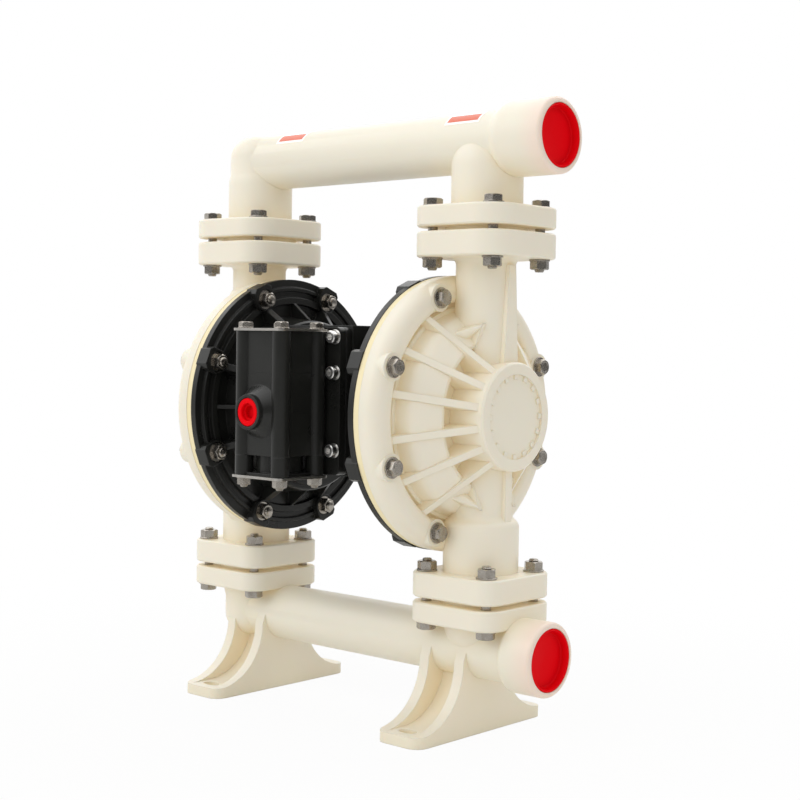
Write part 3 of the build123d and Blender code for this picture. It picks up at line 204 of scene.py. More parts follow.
def refinedCopy(nodeName, name, material, body):
    # A node's shape with its loose triangles welded, so that it shades smoothly
    makeActive(nodes[nodeName])
    bpy.ops.object.duplicate(linked=False)
    piece = bpy.context.object
    for key in list(piece.keys()):
        if key.startswith("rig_"):
            del piece[key]
    piece.parent = None
    piece.matrix_world = Matrix.Identity(4)
    bpy.ops.object.mode_set(mode="EDIT")
    bpy.ops.mesh.select_all(action="SELECT")
    bpy.ops.mesh.remove_doubles(threshold=weldDistance)
    bpy.ops.mesh.customdata_custom_splitnormals_clear()
    bpy.ops.object.mode_set(mode="OBJECT")
    piece.name = name
    smoothShade(piece)
    paint(piece, material)
    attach(piece, body)
    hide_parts(nodeName)


# Shader groups and materials

def newGroup(name, inputs, outputs):
    group = bpy.data.node_groups.new(name, "ShaderNodeTree")
    for label, kind, value in inputs:
        socket = group.interface.new_socket(label, in_out="INPUT", socket_type="NodeSocket" + kind)
        socket.default_value = value
    for label, kind in outputs:
        group.interface.new_socket(label, in_out="OUTPUT", socket_type="NodeSocket" + kind)
    return group, group.nodes.new("NodeGroupInput"), group.nodes.new("NodeGroupOutput")


def addNode(tree, kind, place=(0, 0), **values):
    node = tree.nodes.new("ShaderNode" + kind)
    node.location = place
    for name, value in values.items():
        if name in node.inputs:
            node.inputs[name].default_value = value
        else:
            setattr(node, name, value)
    return node


def addNoise(tree, coordinates, scaleSocket, detail, place, scale=None):
    noise = addNode(tree, "TexNoise", place, Detail=detail)
    tree.links.new(coordinates, noise.inputs["Vector"])
    if scaleSocket is not None:
        tree.links.new(scaleSocket, noise.inputs["Scale"])
    else:
        noise.inputs["Scale"].default_value = scale
    return noise


# Moulded plastic: slow clouds in the colour, a painted shade in a warmer tone where surfaces close in, a fine
# moulded grain
moulding = {
    "occlusionSamples": 8,
    "cloudDetail": 4.0,
    "cloudRoughness": 0.18,
    "grainDetail": 2.0,
    "waveScale": 22.0,
    "waveDetail": 1.0,
    "waveHeight": 2.0,
}
mouldedGroup, gin, gout = newGroup(
    "mouldedSurface",
    [
        ("Color", "Color", (0.8, 0.8, 0.8, 1)),
        ("Painted Shade Color", "Color", (0.6, 0.5, 0.4, 1)),
        ("Painted Shade Reach", "Float", 0.03),
        ("Painted Shade Amount", "Float", 0.8),
        ("Cloud Scale", "Float", 12.0),
        ("Cloud Amount", "Float", 0.06),
        ("Roughness", "Float", 0.4),
        ("Grain Scale", "Float", 900.0),
    ],
    [("Color", "Color"), ("Roughness", "Float"), ("Height", "Float")],
)
tree = mouldedGroup
links = tree.links
coord = addNode(tree, "TexCoord", (-900, 0)).outputs["Object"]
# Painted shade: where ambient occlusion finds surfaces closing in, the colour blends towards the shade colour
occlusion = addNode(tree, "AmbientOcclusion", (-700, 300), samples=moulding["occlusionSamples"], only_local=False)
links.new(gin.outputs["Painted Shade Reach"], occlusion.inputs["Distance"])
closed = addNode(tree, "Math", (-500, 300), operation="SUBTRACT")
closed.inputs[0].default_value = 1.0
links.new(occlusion.outputs["AO"], closed.inputs[1])
amount = addNode(tree, "Math", (-300, 300), operation="MULTIPLY", use_clamp=True)
links.new(closed.outputs[0], amount.inputs[0])
links.new(gin.outputs["Painted Shade Amount"], amount.inputs[1])
paintedShadeMix = addNode(tree, "Mix", (-100, 300), data_type="RGBA")
links.new(amount.outputs[0], paintedShadeMix.inputs["Factor"])
links.new(gin.outputs["Color"], paintedShadeMix.inputs["A"])
links.new(gin.outputs["Painted Shade Color"], paintedShadeMix.inputs["B"])
cloud = addNoise(tree, coord, gin.outputs["Cloud Scale"], moulding["cloudDetail"], (-700, 0))
cloudCentred = addNode(tree, "Math", (-500, 0), operation="SUBTRACT")
links.new(cloud.outputs["Fac"], cloudCentred.inputs[0])
cloudCentred.inputs[1].default_value = 0.5
cloudScaled = addNode(tree, "Math", (-300, 0), operation="MULTIPLY_ADD")
links.new(cloudCentred.outputs[0], cloudScaled.inputs[0])
links.new(gin.outputs["Cloud Amount"], cloudScaled.inputs[1])
cloudScaled.inputs[2].default_value = 1.0
tinted = addNode(tree, "HueSaturation", (100, 200))
links.new(paintedShadeMix.outputs["Result"], tinted.inputs["Color"])
links.new(cloudScaled.outputs[0], tinted.inputs["Value"])
links.new(tinted.outputs["Color"], gout.inputs["Color"])
grain = addNoise(tree, coord, gin.outputs["Grain Scale"], moulding["grainDetail"], (-700, -300))
roughMix = addNode(tree, "Math", (-300, -200), operation="MULTIPLY_ADD")
links.new(cloudCentred.outputs[0], roughMix.inputs[0])
roughMix.inputs[1].default_value = moulding["cloudRoughness"]
links.new(gin.outputs["Roughness"], roughMix.inputs[2])
links.new(roughMix.outputs[0], gout.inputs["Roughness"])
wave = addNoise(tree, coord, None, moulding["waveDetail"], (-700, -550), scale=moulding["waveScale"])
heightMix = addNode(tree, "Math", (-300, -400), operation="MULTIPLY_ADD")
links.new(wave.outputs["Fac"], heightMix.inputs[0])
heightMix.inputs[1].default_value = moulding["waveHeight"]
links.new(grain.outputs["Fac"], heightMix.inputs[2])
links.new(heightMix.outputs[0], gout.inputs["Height"])

# Metal: brushed streaks along one direction, faint stains
metalwork = {"detail": 3.0, "stainScale": 140.0, "stainFrom": 0.45, "stainTo": 0.75, "streakRoughness": 0.22}
metalGroup, gin, gout = newGroup(
    "workedMetal",
    [
        ("Color", "Color", (0.6, 0.6, 0.6, 1)),
        ("Stain Color", "Color", (0.35, 0.3, 0.25, 1)),
        ("Stain Amount", "Float", 0.4),
        ("Roughness", "Float", 0.3),
        ("Streak", "Vector", (40.0, 900.0, 900.0)),
    ],
    [("Color", "Color"), ("Roughness", "Float"), ("Height", "Float")],
)
tree = metalGroup
links = tree.links
coord = addNode(tree, "TexCoord", (-900, 0)).outputs["Object"]
stretch = addNode(tree, "Mapping", (-700, 0))
links.new(coord, stretch.inputs["Vector"])
links.new(gin.outputs["Streak"], stretch.inputs["Scale"])
streaks = addNoise(tree, stretch.outputs["Vector"], None, metalwork["detail"], (-500, 0), scale=1.0)
stains = addNoise(tree, coord, None, metalwork["detail"], (-500, 300), scale=metalwork["stainScale"])
stainRamp = addNode(tree, "MapRange", (-300, 300))
stainRamp.inputs["From Min"].default_value = metalwork["stainFrom"]
stainRamp.inputs["From Max"].default_value = metalwork["stainTo"]
links.new(stains.outputs["Fac"], stainRamp.inputs["Value"])
stainAmount = addNode(tree, "Math", (-150, 300), operation="MULTIPLY", use_clamp=True)
links.new(stainRamp.outputs["Result"], stainAmount.inputs[0])
links.new(gin.outputs["Stain Amount"], stainAmount.inputs[1])
stained = addNode(tree, "Mix", (0, 300), data_type="RGBA")
links.new(stainAmount.outputs[0], stained.inputs["Factor"])
links.new(gin.outputs["Color"], stained.inputs["A"])
links.new(gin.outputs["Stain Color"], stained.inputs["B"])
links.new(stained.outputs["Result"], gout.inputs["Color"])
streakRough = addNode(tree, "Math", (-200, 0), operation="MULTIPLY_ADD")
links.new(streaks.outputs["Fac"], streakRough.inputs[0])
streakRough.inputs[1].default_value = metalwork["streakRoughness"]
links.new(gin.outputs["Roughness"], streakRough.inputs[2])
links.new(streakRough.outputs[0], gout.inputs["Roughness"])
links.new(streaks.outputs["Fac"], gout.inputs["Height"])


def groupMaterial(name, group, settings, bump, shader, edge=0.0):
    material = bpy.data.materials.new(name)
    material.use_nodes = True
    tree = material.node_tree
    surface = tree.nodes["Principled BSDF"]
    for label, value in shader.items():
        surface.inputs[label].default_value = value
    effect = tree.nodes.new("ShaderNodeGroup")
    effect.node_tree = group
    effect.location = (-500, 100)
    for label, value in settings.items():
        effect.inputs[label].default_value = value
    tree.links.new(effect.outputs["Color"], surface.inputs["Base Color"])
    tree.links.new(effect.outputs["Roughness"], surface.inputs["Roughness"])
    bumpNode = tree.nodes.new("ShaderNodeBump")
    bumpNode.location = (-250, -200)
    bumpNode.inputs["Strength"].default_value = bump["strength"]
    bumpNode.inputs["Distance"].default_value = bump["depth"]
    tree.links.new(effect.outputs["Height"], bumpNode.inputs["Height"])
    if edge:
        rounding = addNode(tree, "Bevel", (-500, -300), samples=4, Radius=edge)
        tree.links.new(rounding.outputs["Normal"], bumpNode.inputs["Normal"])
    tree.links.new(bumpNode.outputs["Normal"], surface.inputs["Normal"])
    return material


# In every moulded finish the shade colour, reach and amount set the painted shade where surfaces close in
finishes = {
    "ivory": dict(
        group=mouldedGroup,
        settings={
            "Color": (0.83, 0.785, 0.67, 1),
            # Painted shade: a warm tan where surfaces close in, standing in for shade and for light glowing
            # through the translucent plastic
            "Painted Shade Color": (0.84, 0.745, 0.545, 1),
            "Painted Shade Reach": 0.05,
            "Painted Shade Amount": 0.95,
            "Cloud Scale": 9.0,
            "Cloud Amount": 0.05,
            "Roughness": 0.40,
            "Grain Scale": 1400.0,
        },
        bump={"strength": 0.12, "depth": 0.0003},
        shader={
            "Subsurface Weight": 0.2,
            "Subsurface Scale": 0.014,
            "Subsurface Radius": (1.0, 0.6, 0.35),
            "IOR": 1.49,
            # Painted glow: a faint warm emission lights the plastic even in shade, standing in for light through
            # the translucent plastic
            "Emission Color": (1.0, 0.83, 0.56, 1),
            "Emission Strength": 0.07,
        },
        edge=0.0015,
    ),
    "black": dict(
        group=mouldedGroup,
        settings={
            "Color": (0.0165, 0.0168, 0.0150, 1),
            "Painted Shade Color": (0.012, 0.012, 0.011, 1),
            "Painted Shade Reach": 0.02,
            "Painted Shade Amount": 0.7,
            "Cloud Scale": 30.0,
            "Cloud Amount": 0.35,
            "Roughness": 0.30,
            "Grain Scale": 1100.0,
        },
        bump={"strength": 0.25, "depth": 0.0003},
        shader={"Specular IOR Level": 0.35},
        edge=0.0014,
    ),
    "red": dict(
        group=mouldedGroup,
        settings={
            "Color": (0.86, 0.001, 0.006, 1),
            # Painted shade: a deep red where surfaces close in, darkening the cups' hollows
            "Painted Shade Color": (0.40, 0.0, 0.003, 1),
            "Painted Shade Reach": 0.008,
            "Painted Shade Amount": 0.9,
            "Cloud Scale": 40.0,
            "Cloud Amount": 0.06,
            "Roughness": 0.38,
            "Grain Scale": 900.0,
        },
        bump={"strength": 0.1, "depth": 0.0002},
        shader={
            "Specular IOR Level": 0.04,
            "Subsurface Weight": 0.1,
            "Subsurface Scale": 0.004,
            "Subsurface Radius": (1.0, 0.2, 0.1),
        },
        edge=0.0005,
    ),
    "cream": dict(
        group=mouldedGroup,
        settings={
            "Color": (0.82, 0.72, 0.46, 1),
            "Painted Shade Color": (0.72, 0.58, 0.30, 1),
            "Painted Shade Reach": 0.01,
            "Painted Shade Amount": 0.5,
            "Cloud Scale": 25.0,
            "Cloud Amount": 0.12,
            "Roughness": 0.55,
            "Grain Scale": 700.0,
        },
        bump={"strength": 0.2, "depth": 0.0003},
        # Painted glow: a warm emission lights the diaphragm rims even in shade
        shader={"Emission Color": (1.0, 0.85, 0.5, 1), "Emission Strength": 0.12},
    ),
    "whiteSeal": dict(
        group=mouldedGroup,
        settings={
            "Color": (0.82, 0.82, 0.80, 1),
            "Painted Shade Color": (0.6, 0.58, 0.52, 1),
            "Painted Shade Reach": 0.006,
            "Painted Shade Amount": 0.5,
            "Cloud Scale": 60.0,
            "Cloud Amount": 0.05,
            "Roughness": 0.35,
            "Grain Scale": 600.0,
        },
        bump={"strength": 0.1, "depth": 0.0002},
        shader={},
    ),
    "darkAcetal": dict(
        group=mouldedGroup,
        settings={
            "Color": (0.05, 0.05, 0.055, 1),
            "Painted Shade Color": (0.02, 0.02, 0.02, 1),
            "Painted Shade Reach": 0.006,
            "Painted Shade Amount": 0.5,
            "Cloud Scale": 60.0,
            "Cloud Amount": 0.2,
            "Roughness": 0.3,
            "Grain Scale": 900.0,
        },
        bump={"strength": 0.1, "depth": 0.0002},
        shader={},
    ),
    "blackRubber": dict(
        group=mouldedGroup,
        settings={
            "Color": (0.02, 0.02, 0.02, 1),
            "Painted Shade Color": (0.01, 0.01, 0.01, 1),
            "Painted Shade Reach": 0.005,
            "Painted Shade Amount": 0.5,
            "Cloud Scale": 80.0,
            "Cloud Amount": 0.3,
            "Roughness": 0.62,
            "Grain Scale": 1600.0,
        },
        bump={"strength": 0.3, "depth": 0.0002},
        shader={},
    ),
    "stainless": dict(
        group=metalGroup,
        settings={
            "Color": (0.43, 0.40, 0.36, 1),
            "Stain Color": (0.18, 0.15, 0.12, 1),
            "Stain Amount": 0.4,
            "Roughness": 0.16,
            "Streak": (500.0, 500.0, 2600.0),
        },
        bump={"strength": 0.15, "depth": 0.0001},
        shader={"Metallic": 1.0},
        edge=0.0004,
    ),
    "plateSteel": dict(
        group=metalGroup,
        settings={
            "Color": (0.52, 0.50, 0.47, 1),
            "Stain Color": (0.3, 0.27, 0.22, 1),
            "Stain Amount": 0.4,
            "Roughness": 0.25,
            "Streak": (60.0, 2200.0, 2200.0),
        },
        bump={"strength": 0.12, "depth": 0.0001},
        shader={"Metallic": 1.0},
        edge=0.0003,
    ),
    "screwSteel": dict(
        group=metalGroup,
        settings={
            "Color": (0.78, 0.77, 0.75, 1),
            "Stain Color": (0.45, 0.43, 0.40, 1),
            "Stain Amount": 0.4,
            "Roughness": 0.20,
            "Streak": (900.0, 2400.0, 900.0),
        },
        bump={"strength": 0.15, "depth": 0.0001},
        shader={"Metallic": 1.0},
        edge=0.0004,
    ),
    "groundSteel": dict(
        group=metalGroup,
        settings={
            "Color": (0.70, 0.70, 0.70, 1),
            "Stain Color": (0.5, 0.5, 0.5, 1),
            "Stain Amount": 0.2,
            "Roughness": 0.08,
            "Streak": (2500.0, 90.0, 90.0),
        },
        bump={"strength": 0.08, "depth": 0.0001},
        shader={"Metallic": 1.0},
    ),
    "anodised": dict(
        group=metalGroup,
        settings={
            "Color": (0.55, 0.56, 0.58, 1),
            "Stain Color": (0.38, 0.38, 0.40, 1),
            "Stain Amount": 0.3,
            "Roughness": 0.30,
            "Streak": (900.0, 900.0, 120.0),
        },
        bump={"strength": 0.12, "depth": 0.0001},
        shader={"Metallic": 1.0},
    ),
    "stickerPaper": dict(
        group=mouldedGroup,
        settings={
            "Color": (0.86, 0.85, 0.83, 1),
            "Painted Shade Color": (0.7, 0.68, 0.64, 1),
            "Painted Shade Reach": 0.002,
            "Painted Shade Amount": 0.2,
            "Cloud Scale": 60.0,
            "Cloud Amount": 0.03,
            "Roughness": 0.30,
            "Grain Scale": 2000.0,
        },
        bump={"strength": 0.05, "depth": 0.0001},
        # Painted glow: a white emission brightens the paper
        shader={"Emission Color": (1.0, 1.0, 1.0, 1), "Emission Strength": 0.2},
    ),
    "stickerPanel": dict(
        group=mouldedGroup,
        settings={
            "Color": (0.72, 0.12, 0.045, 1),
            "Painted Shade Color": (0.5, 0.08, 0.03, 1),
            "Painted Shade Reach": 0.002,
            "Painted Shade Amount": 0.2,
            "Cloud Scale": 150.0,
            "Cloud Amount": 0.2,
            "Roughness": 0.35,
            "Grain Scale": 2500.0,
        },
        bump={"strength": 0.05, "depth": 0.0001},
        shader={},
    ),
}
materials = {name: groupMaterial(name, **values) for name, values in finishes.items()}


def glowNearPorts(material, glow):
    # The red plugs shine through the ends of both collars, so the ivory turns pink towards them
    tree = material.node_tree
    coord = addNode(tree, "TexCoord", (-1100, 500))
    axes = addNode(tree, "SeparateXYZ", (-900, 500))
    tree.links.new(coord.outputs["Object"], axes.inputs[0])
    reach = addNode(tree, "MapRange", (-700, 500), interpolation_type="SMOOTHSTEP")
    reach.inputs["From Min"].default_value = glow["start"]
    reach.inputs["From Max"].default_value = glow["end"]
    reach.inputs["To Max"].default_value = glow["amount"]
    tree.links.new(axes.outputs["X"], reach.inputs["Value"])
    blend = addNode(tree, "Mix", (-250, 500), data_type="RGBA")
    blend.inputs["B"].default_value = glow["color"]
    tree.links.new(reach.outputs["Result"], blend.inputs["Factor"])
    surface = tree.nodes["Principled BSDF"]
    source = surface.inputs["Base Color"].links[0].from_socket
    tree.links.new(source, blend.inputs["A"])
    tree.links.new(blend.outputs["Result"], surface.inputs["Base Color"])


glowNearPorts(materials["ivory"], {"start": 0.222, "end": 0.256, "amount": 0.42, "color": (0.95, 0.62, 0.55, 1)})
print("materials made:", len(materials))

# Moulded bodies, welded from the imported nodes

housings = {
    "dischargePipe": ("discharge_manifold", "ivory", "white_pp"),
    "suctionPipeWithFeet": ("suction_manifold", "ivory", "white_pp"),
    "rightOuterCover": ("right_cover", "ivory", "white_pp"),
    "leftOuterCover": ("left_cover", "ivory", "white_pp"),
    "rightAirChamber": ("right_air_chamber", "black", "black_pp"),
    "leftAirChamber": ("left_air_chamber", "black", "black_pp"),
    "centreBlock": ("centre_body", "black", "black_pp"),
    "airValveBody": ("valve_body", "black", "black_pp"),
    "airValveLowerCap": ("valve_lower_cap", "black", "black_pp"),
    "airValveAdapter": ("valve_adapter", "black", "black_pp"),
    "rightDiaphragmRim": ("right_diaphragm", "cream", "diaphragm_rubber"),
    "leftDiaphragmRim": ("left_diaphragm", "cream", "diaphragm_rubber"),
}
for name, (nodeName, finish, slot) in housings.items():
    refinedCopy(nodeName, name, materials[finish], "housing")
print("moulded bodies done")

# Gussets between the covers' ring edge and their necks

gusset = {
    # Corners of the one at the front and top of the right cover: out, to the front, up from the shaft
    "corners": (
        (0.1868, 0.0262, 0.0920),
        (0.1860, 0.0296, 0.0890),
        (0.1725, 0.0285, 0.0790),
        (0.1710, 0.0370, 0.0770),
        (0.1620, 0.0470, 0.0800),
        (0.1600, 0.0440, 0.0820),
        (0.1660, 0.0300, 0.0890),
        (0.1620, 0.0240, 0.0700),
    ),
    "round": 0.0012,
}
for label, side in (("right", 1), ("left", -1)):
    wedges = []
    for front in (-1, 1):
        for up in (-1, 1):
            clearSelection()
            bpy.ops.mesh.primitive_cube_add(size=1)
            wedge = bpy.context.object
            for vertex, (x, y, z) in zip(wedge.data.vertices, gusset["corners"]):
                vertex.co = Vector((side * x, front * y, layout["pumpZ"] + up * z))
            bpy.ops.object.mode_set(mode="EDIT")
            bpy.ops.mesh.select_all(action="SELECT")
            bpy.ops.mesh.convex_hull()
            bpy.ops.mesh.normals_make_consistent(inside=False)
            bpy.ops.object.mode_set(mode="OBJECT")
            applyModifier(wedge, "BEVEL", width=gusset["round"], segments=2, limit_method="NONE")
            wedges.append(wedge)
    name = label + "CoverGussets"
    finishPiece(joined(name, wedges), name, materials["ivory"], "housing")

# Ledge ring between each cover's bolt band and its dome

ledge = {"outer": 0.1083, "inner": 0.1030, "base": 0.1340, "top": 0.1392, "round": 0.0008, "sides": 128}
for label, side in (("right", 1), ("left", -1)):
    ring = turned(
        label + "CoverLedge",
        [
            (ledge["base"], ledge["inner"]),
            (ledge["base"], ledge["outer"]),
            (ledge["top"] - ledge["round"], ledge["outer"]),
            (ledge["top"], ledge["outer"] - ledge["round"]),
            (ledge["top"], ledge["inner"]),
        ],
        ledge["sides"],
        hole=True,
    )
    setDown(ring, (0, 0, layout["pumpZ"]), side * pi / 2, "Y")
    finishPiece(ring, label + "CoverLedge", materials["ivory"], "housing")

# Nodes that keep their own shape

keptNodes = {
    "shaft": "groundSteel",
    "pilot_rod": "groundSteel",
    "shaft_bushes": "darkAcetal",
    "pilot_bushes": "darkAcetal",
    "shaft_seals": "blackRubber",
    "right_inner_plate": "anodised",
    "left_inner_plate": "anodised",
    "right_outer_plate": "ivory",
    "left_outer_plate": "ivory",
    "suction_seat_left": "ivory",
    "suction_seat_right": "ivory",
    "discharge_seat_left": "ivory",
    "discharge_seat_right": "ivory",
    "suction_ball_left": "cream",
    "suction_ball_right": "cream",
    "discharge_ball_left": "cream",
    "discharge_ball_right": "cream",
    "seat_seals": "whiteSeal",
    "valve_gasket": "blackRubber",
    "valve_sleeve": "anodised",
    "valve_spool": "darkAcetal",
    "valve_top_plate": "plateSteel",
    "valve_bottom_plate": "plateSteel",
    "tie_screws": "stainless",
}
for nodeName, finish in keptNodes.items():
    for materialSlot in nodes[nodeName].material_slots:
        materialSlot.material = materials[finish]

# Fasteners

m10 = {"r": 0.005, "flats": 0.017, "head": 0.0064, "nut": 0.0084, "washerR": 0.0105, "washerT": 0.0018}
hardware = {
    "m10": m10,
    "chamber": {**m10, "flats": 0.0145},
    "m8": {"r": 0.004, "flats": 0.013, "head": 0.0053, "nut": 0.0065, "washerR": 0.0076, "washerT": 0.0012},
    "threadEnd": 0.0026,
    "pitch": 0.00125,
    "shankSides": 24,
    "threadSides": 32,
    "roundSides": 40,
}
washerShape = {"hole": 1.05, "edge": 0.0003}
shankEnd = 0.96
headRing = {"outer": 0.40, "inner": 0.36, "dish": 0.34, "root": 0.0004, "rise": 0.0002, "dip": 0.0003}
threadShape = {
    "root": 0.9,
    "valley": 0.87,
    "crestStart": 0.35,
    "crestEnd": 0.5,
    "plain": 0.0006,
    "cone": 0.0005,
    "tip": 0.72,
    "sunk": 0.001,
}
socketCap = {
    "r": 0.0065,
    "height": 0.0075,
    "footIn": 0.0002,
    "footUp": 0.0003,
    # Rounding of the top's edge, as steps down from the top and in from the side
    "edge": ((0.0009, 0), (0.0003, 0.0004), (0, 0.001)),
    "mouth": 0.0036,
    "sides": 48,
    "hexR": 0.0035,
    "hexDepth": 0.008,
}


def washer(name, size):
    t, r = size["washerT"], size["washerR"]
    hole, edge = size["r"] * washerShape["hole"], washerShape["edge"]
    rings = [(0, hole), (0, r - edge), (edge, r), (t - edge, r), (t, r - edge), (t, hole)]
    return turned(name, rings, hardware["roundSides"], hole=True)


def hexHead(name, size, grip):
    # Washer, hexagon, the shallow turned ring on top and the shank down to the nut
    t, r, flats = size["washerT"], size["r"], size["flats"]
    top = t + size["head"]
    shank = turned(name + "Shank", [(-grip, r * shankEnd), (-grip, r), (t, r)], hardware["shankSides"])
    head = hexPrism(name, flats, t, top)
    ring = turned(
        name + "Ring",
        [
            (top - headRing["root"], flats * headRing["outer"]),
            (top + headRing["rise"], flats * headRing["outer"]),
            (top + headRing["rise"], flats * headRing["inner"]),
            (top - headRing["dip"], flats * headRing["dish"]),
        ],
        hardware["roundSides"],
    )
    return joined(name, [washer(name + "Washer", size), head, ring, shank])


def threadedEnd(name, size, start, length):
    # A bolt's end with its thread as fine ridges and a pointed tip
    r, pitch, shape = size["r"], hardware["pitch"], threadShape
    end = start + length
    rings = [(start, r * shape["root"])]
    z = start
    while z + pitch < end - shape["plain"]:
        rings += [(z + pitch * shape["crestStart"], r), (z + pitch * shape["crestEnd"], r)]
        rings.append((z + pitch, r * shape["valley"]))
        z += pitch
    rings += [(end - shape["cone"], r * shape["root"]), (end, r * shape["tip"])]
    return turned(name, rings, hardware["threadSides"])


def nutWithEnd(name, size):
    t, sunk = size["washerT"], threadShape["sunk"]
    top = t + size["nut"]
    nut = hexPrism(name, size["flats"], t, top)
    end = threadedEnd(name + "Thread", size, top - sunk, hardware["threadEnd"] + sunk)
    return joined(name, [washer(name + "Washer", size), nut, end])


def socketHead(name, size):
    # Washer and a round cap head with its hexagon socket
    t, r = size["washerT"], socketCap["r"]
    top = t + socketCap["height"]
    rings = [(t, r - socketCap["footIn"]), (t + socketCap["footUp"], r)]
    rings += [(top - down, r - inward) for down, inward in socketCap["edge"]]
    cap = turned(name, rings + [(top, socketCap["mouth"])], socketCap["sides"])
    clearSelection()
    bpy.ops.mesh.primitive_cylinder_add(
        vertices=6, radius=socketCap["hexR"], depth=socketCap["hexDepth"], location=(0, 0, top)
    )
    tool = bpy.context.object
    applyModifier(cap, "BOOLEAN", operation="DIFFERENCE", object=tool, solver="EXACT")
    bpy.data.objects.remove(tool)
    return joined(name, [washer(name + "Washer", size), cap])


# Degrees that turn every bolt by an angle of its own, since no two end up alike
boltTurns = {
    "flange": (17, 34, 51),
    "chamber": (23, 7),
    "valvePost": (11, 29),
    "valveScrew": (31, 900),
}


def ownTurn(kind, *steps):
    return radians(sum(angle * step for angle, step in zip(boltTurns[kind], steps)))


def flangeSpots(height, way):
    spots = []
    for side in (-1, 1):
        for dx in (-1, 1):
            for dy in (-1, 1):
                x = side * layout["riserX"] + dx * layout["flangeBolt"]
                turn = ownTurn("flange", dx, dy, side)
                spots.append(((x, dy * layout["flangeBolt"], layout["pumpZ"] + way * height), (0, 0, way), turn))
    return spots


def flangeNutSpots(height):
    spots = []
    for (x, y, z), direction, turn in flangeSpots(height, -1):
        for level in (1, -1):
            spots.append(((x, y, layout["pumpZ"] + level * height), (0, 0, -level), turn + level))
    return spots


def chamberSpots(distance, way):
    # way +1 faces away from the middle of the pump
    spots = []
    step = 360 / layout["chamberBolts"]
    for side in (-1, 1):
        for k in range(layout["chamberBolts"]):
            a = radians(step * (k + 0.5))
            y, z = layout["boltCircle"] * cos(a), layout["pumpZ"] + layout["boltCircle"] * sin(a)
            spots.append(((side * distance, y, z), (side * way, 0, 0), ownTurn("chamber", k, side)))
    return spots


def valvePostSpots(height, way):
    return [
        (
            (sx * layout["valvePostX"], layout["valveY"] + sy * layout["valvePostY"], layout["pumpZ"] + height),
            (0, 0, way),
            ownTurn("valvePost", sx, sy),
        )
        for sx in (-1, 1)
        for sy in (-1, 1)
    ]


def valveScrewSpots():
    return [
        (
            (side * layout["valveScrewX"], layout["valveFlangeY"], layout["pumpZ"] + z),
            (0, -1, 0),
            ownTurn("valveScrew", side, z),
        )
        for side in (-1, 1)
        for z in layout["valveScrewZ"]
    ]


flangeGrip = layout["manifoldOuter"] - layout["coverFlangeBack"]
chamberGrip = layout["coverSpotX"] - layout["chamberNutX"]
valveGrip = layout["valveTop"] + layout["valveBottom"]
models = {
    "flangeHead": hexHead("flangeHead", hardware["m10"], flangeGrip),
    "chamberHead": hexHead("chamberHead", hardware["chamber"], chamberGrip),
    "flangeNut": nutWithEnd("flangeNut", hardware["m10"]),
    "chamberNut": nutWithEnd("chamberNut", hardware["chamber"]),
    "valveHead": hexHead("valveHead", hardware["m8"], valveGrip),
    "valveNut": nutWithEnd("valveNut", hardware["m8"]),
    "valveScrew": socketHead("valveScrew", hardware["m8"]),
}
flangeHeadSpots = flangeSpots(layout["manifoldOuter"], 1) + flangeSpots(layout["manifoldOuter"], -1)
boltPlan = [
    ("flangeBoltHeads", "flangeHead", "flange_bolts", flangeHeadSpots),
    ("flangeBoltNuts", "flangeNut", "flange_nuts", flangeNutSpots(layout["coverFlangeBack"])),
    ("chamberBoltHeads", "chamberHead", "chamber_bolts", chamberSpots(layout["coverSpotX"], 1)),
    ("chamberBoltNuts", "chamberNut", "chamber_nuts", chamberSpots(layout["chamberNutX"], -1)),
    ("valveBoltHeads", "valveHead", "valve_bolts", valvePostSpots(layout["valveTop"], 1)),
    ("valveBoltNuts", "valveNut", "valve_nuts", valvePostSpots(-layout["valveBottom"], -1)),
    ("valveFlangeScrews", "valveScrew", "valve_screws", valveScrewSpots()),
]
for name, modelName, nodeName, spots in boltPlan:
    steel = materials["screwSteel" if nodeName == "valve_screws" else "stainless"]
    finishPiece(joined(name, placeAt(models[modelName], spots)), name, steel, "housing", [nodeName])
for model in models.values():
    bpy.data.objects.remove(model)
print("fasteners placed")

# Transport plugs

portPlug = {
    "r": 0.031,
    "back": 0.2413,
    "front": 0.254,
    "rim": 0.0024,
    "depth": 0.0085,
    "backEdge": 0.0012,
    "frontEdge": 0.0006,
    "lipIn": 0.0004,
    "lipDown": 0.0005,
    # The cup's inner corner, as steps up from its floor and in from its wall
    "corner": ((0.0016, 0.0008), (0.0004, 0.0018), (0, 0.004)),
    # The dished floor, as shares of the dish's depth and of the cup's inner radius
    "dish": 0.002,
    "dishSteps": ((0.5, 0.55), (0.85, 0.25)),
    "tip": 0.003,
    "sides": 96,
    "plugs": {
        "outletTransportPlug": ("outlet_plug", "outlet_cap", layout["outletZ"]),
        "inletTransportPlug": ("inlet_plug", "inlet_cap", layout["inletZ"]),
    },
}


def makePortPlug(name, height):
    r, front, back, dish = portPlug["r"], portPlug["front"], portPlug["back"], portPlug["dish"]
    backEdge, frontEdge = portPlug["backEdge"], portPlug["frontEdge"]
    inner = r - portPlug["rim"]
    floor = front - portPlug["depth"]
    rings = [
        (back, r - backEdge),
        (back + backEdge, r),
        (front - frontEdge, r),
        (front, r - frontEdge),
        (front, inner + portPlug["lipIn"]),
        (front - portPlug["lipDown"], inner),
    ]
    rings += [(floor + up, inner - inward) for up, inward in portPlug["corner"]]
    rings += [(floor - dish * depth, inner * width) for depth, width in portPlug["dishSteps"]]
    cup = turned(name, rings + [(floor - dish, portPlug["tip"])], portPlug["sides"])
    setDown(cup, (0, 0, height), pi / 2, "Y")
    return cup


for name, (nodeName, body, height) in portPlug["plugs"].items():
    finishPiece(makePortPlug(name, height), name, materials["red"], body, [nodeName])

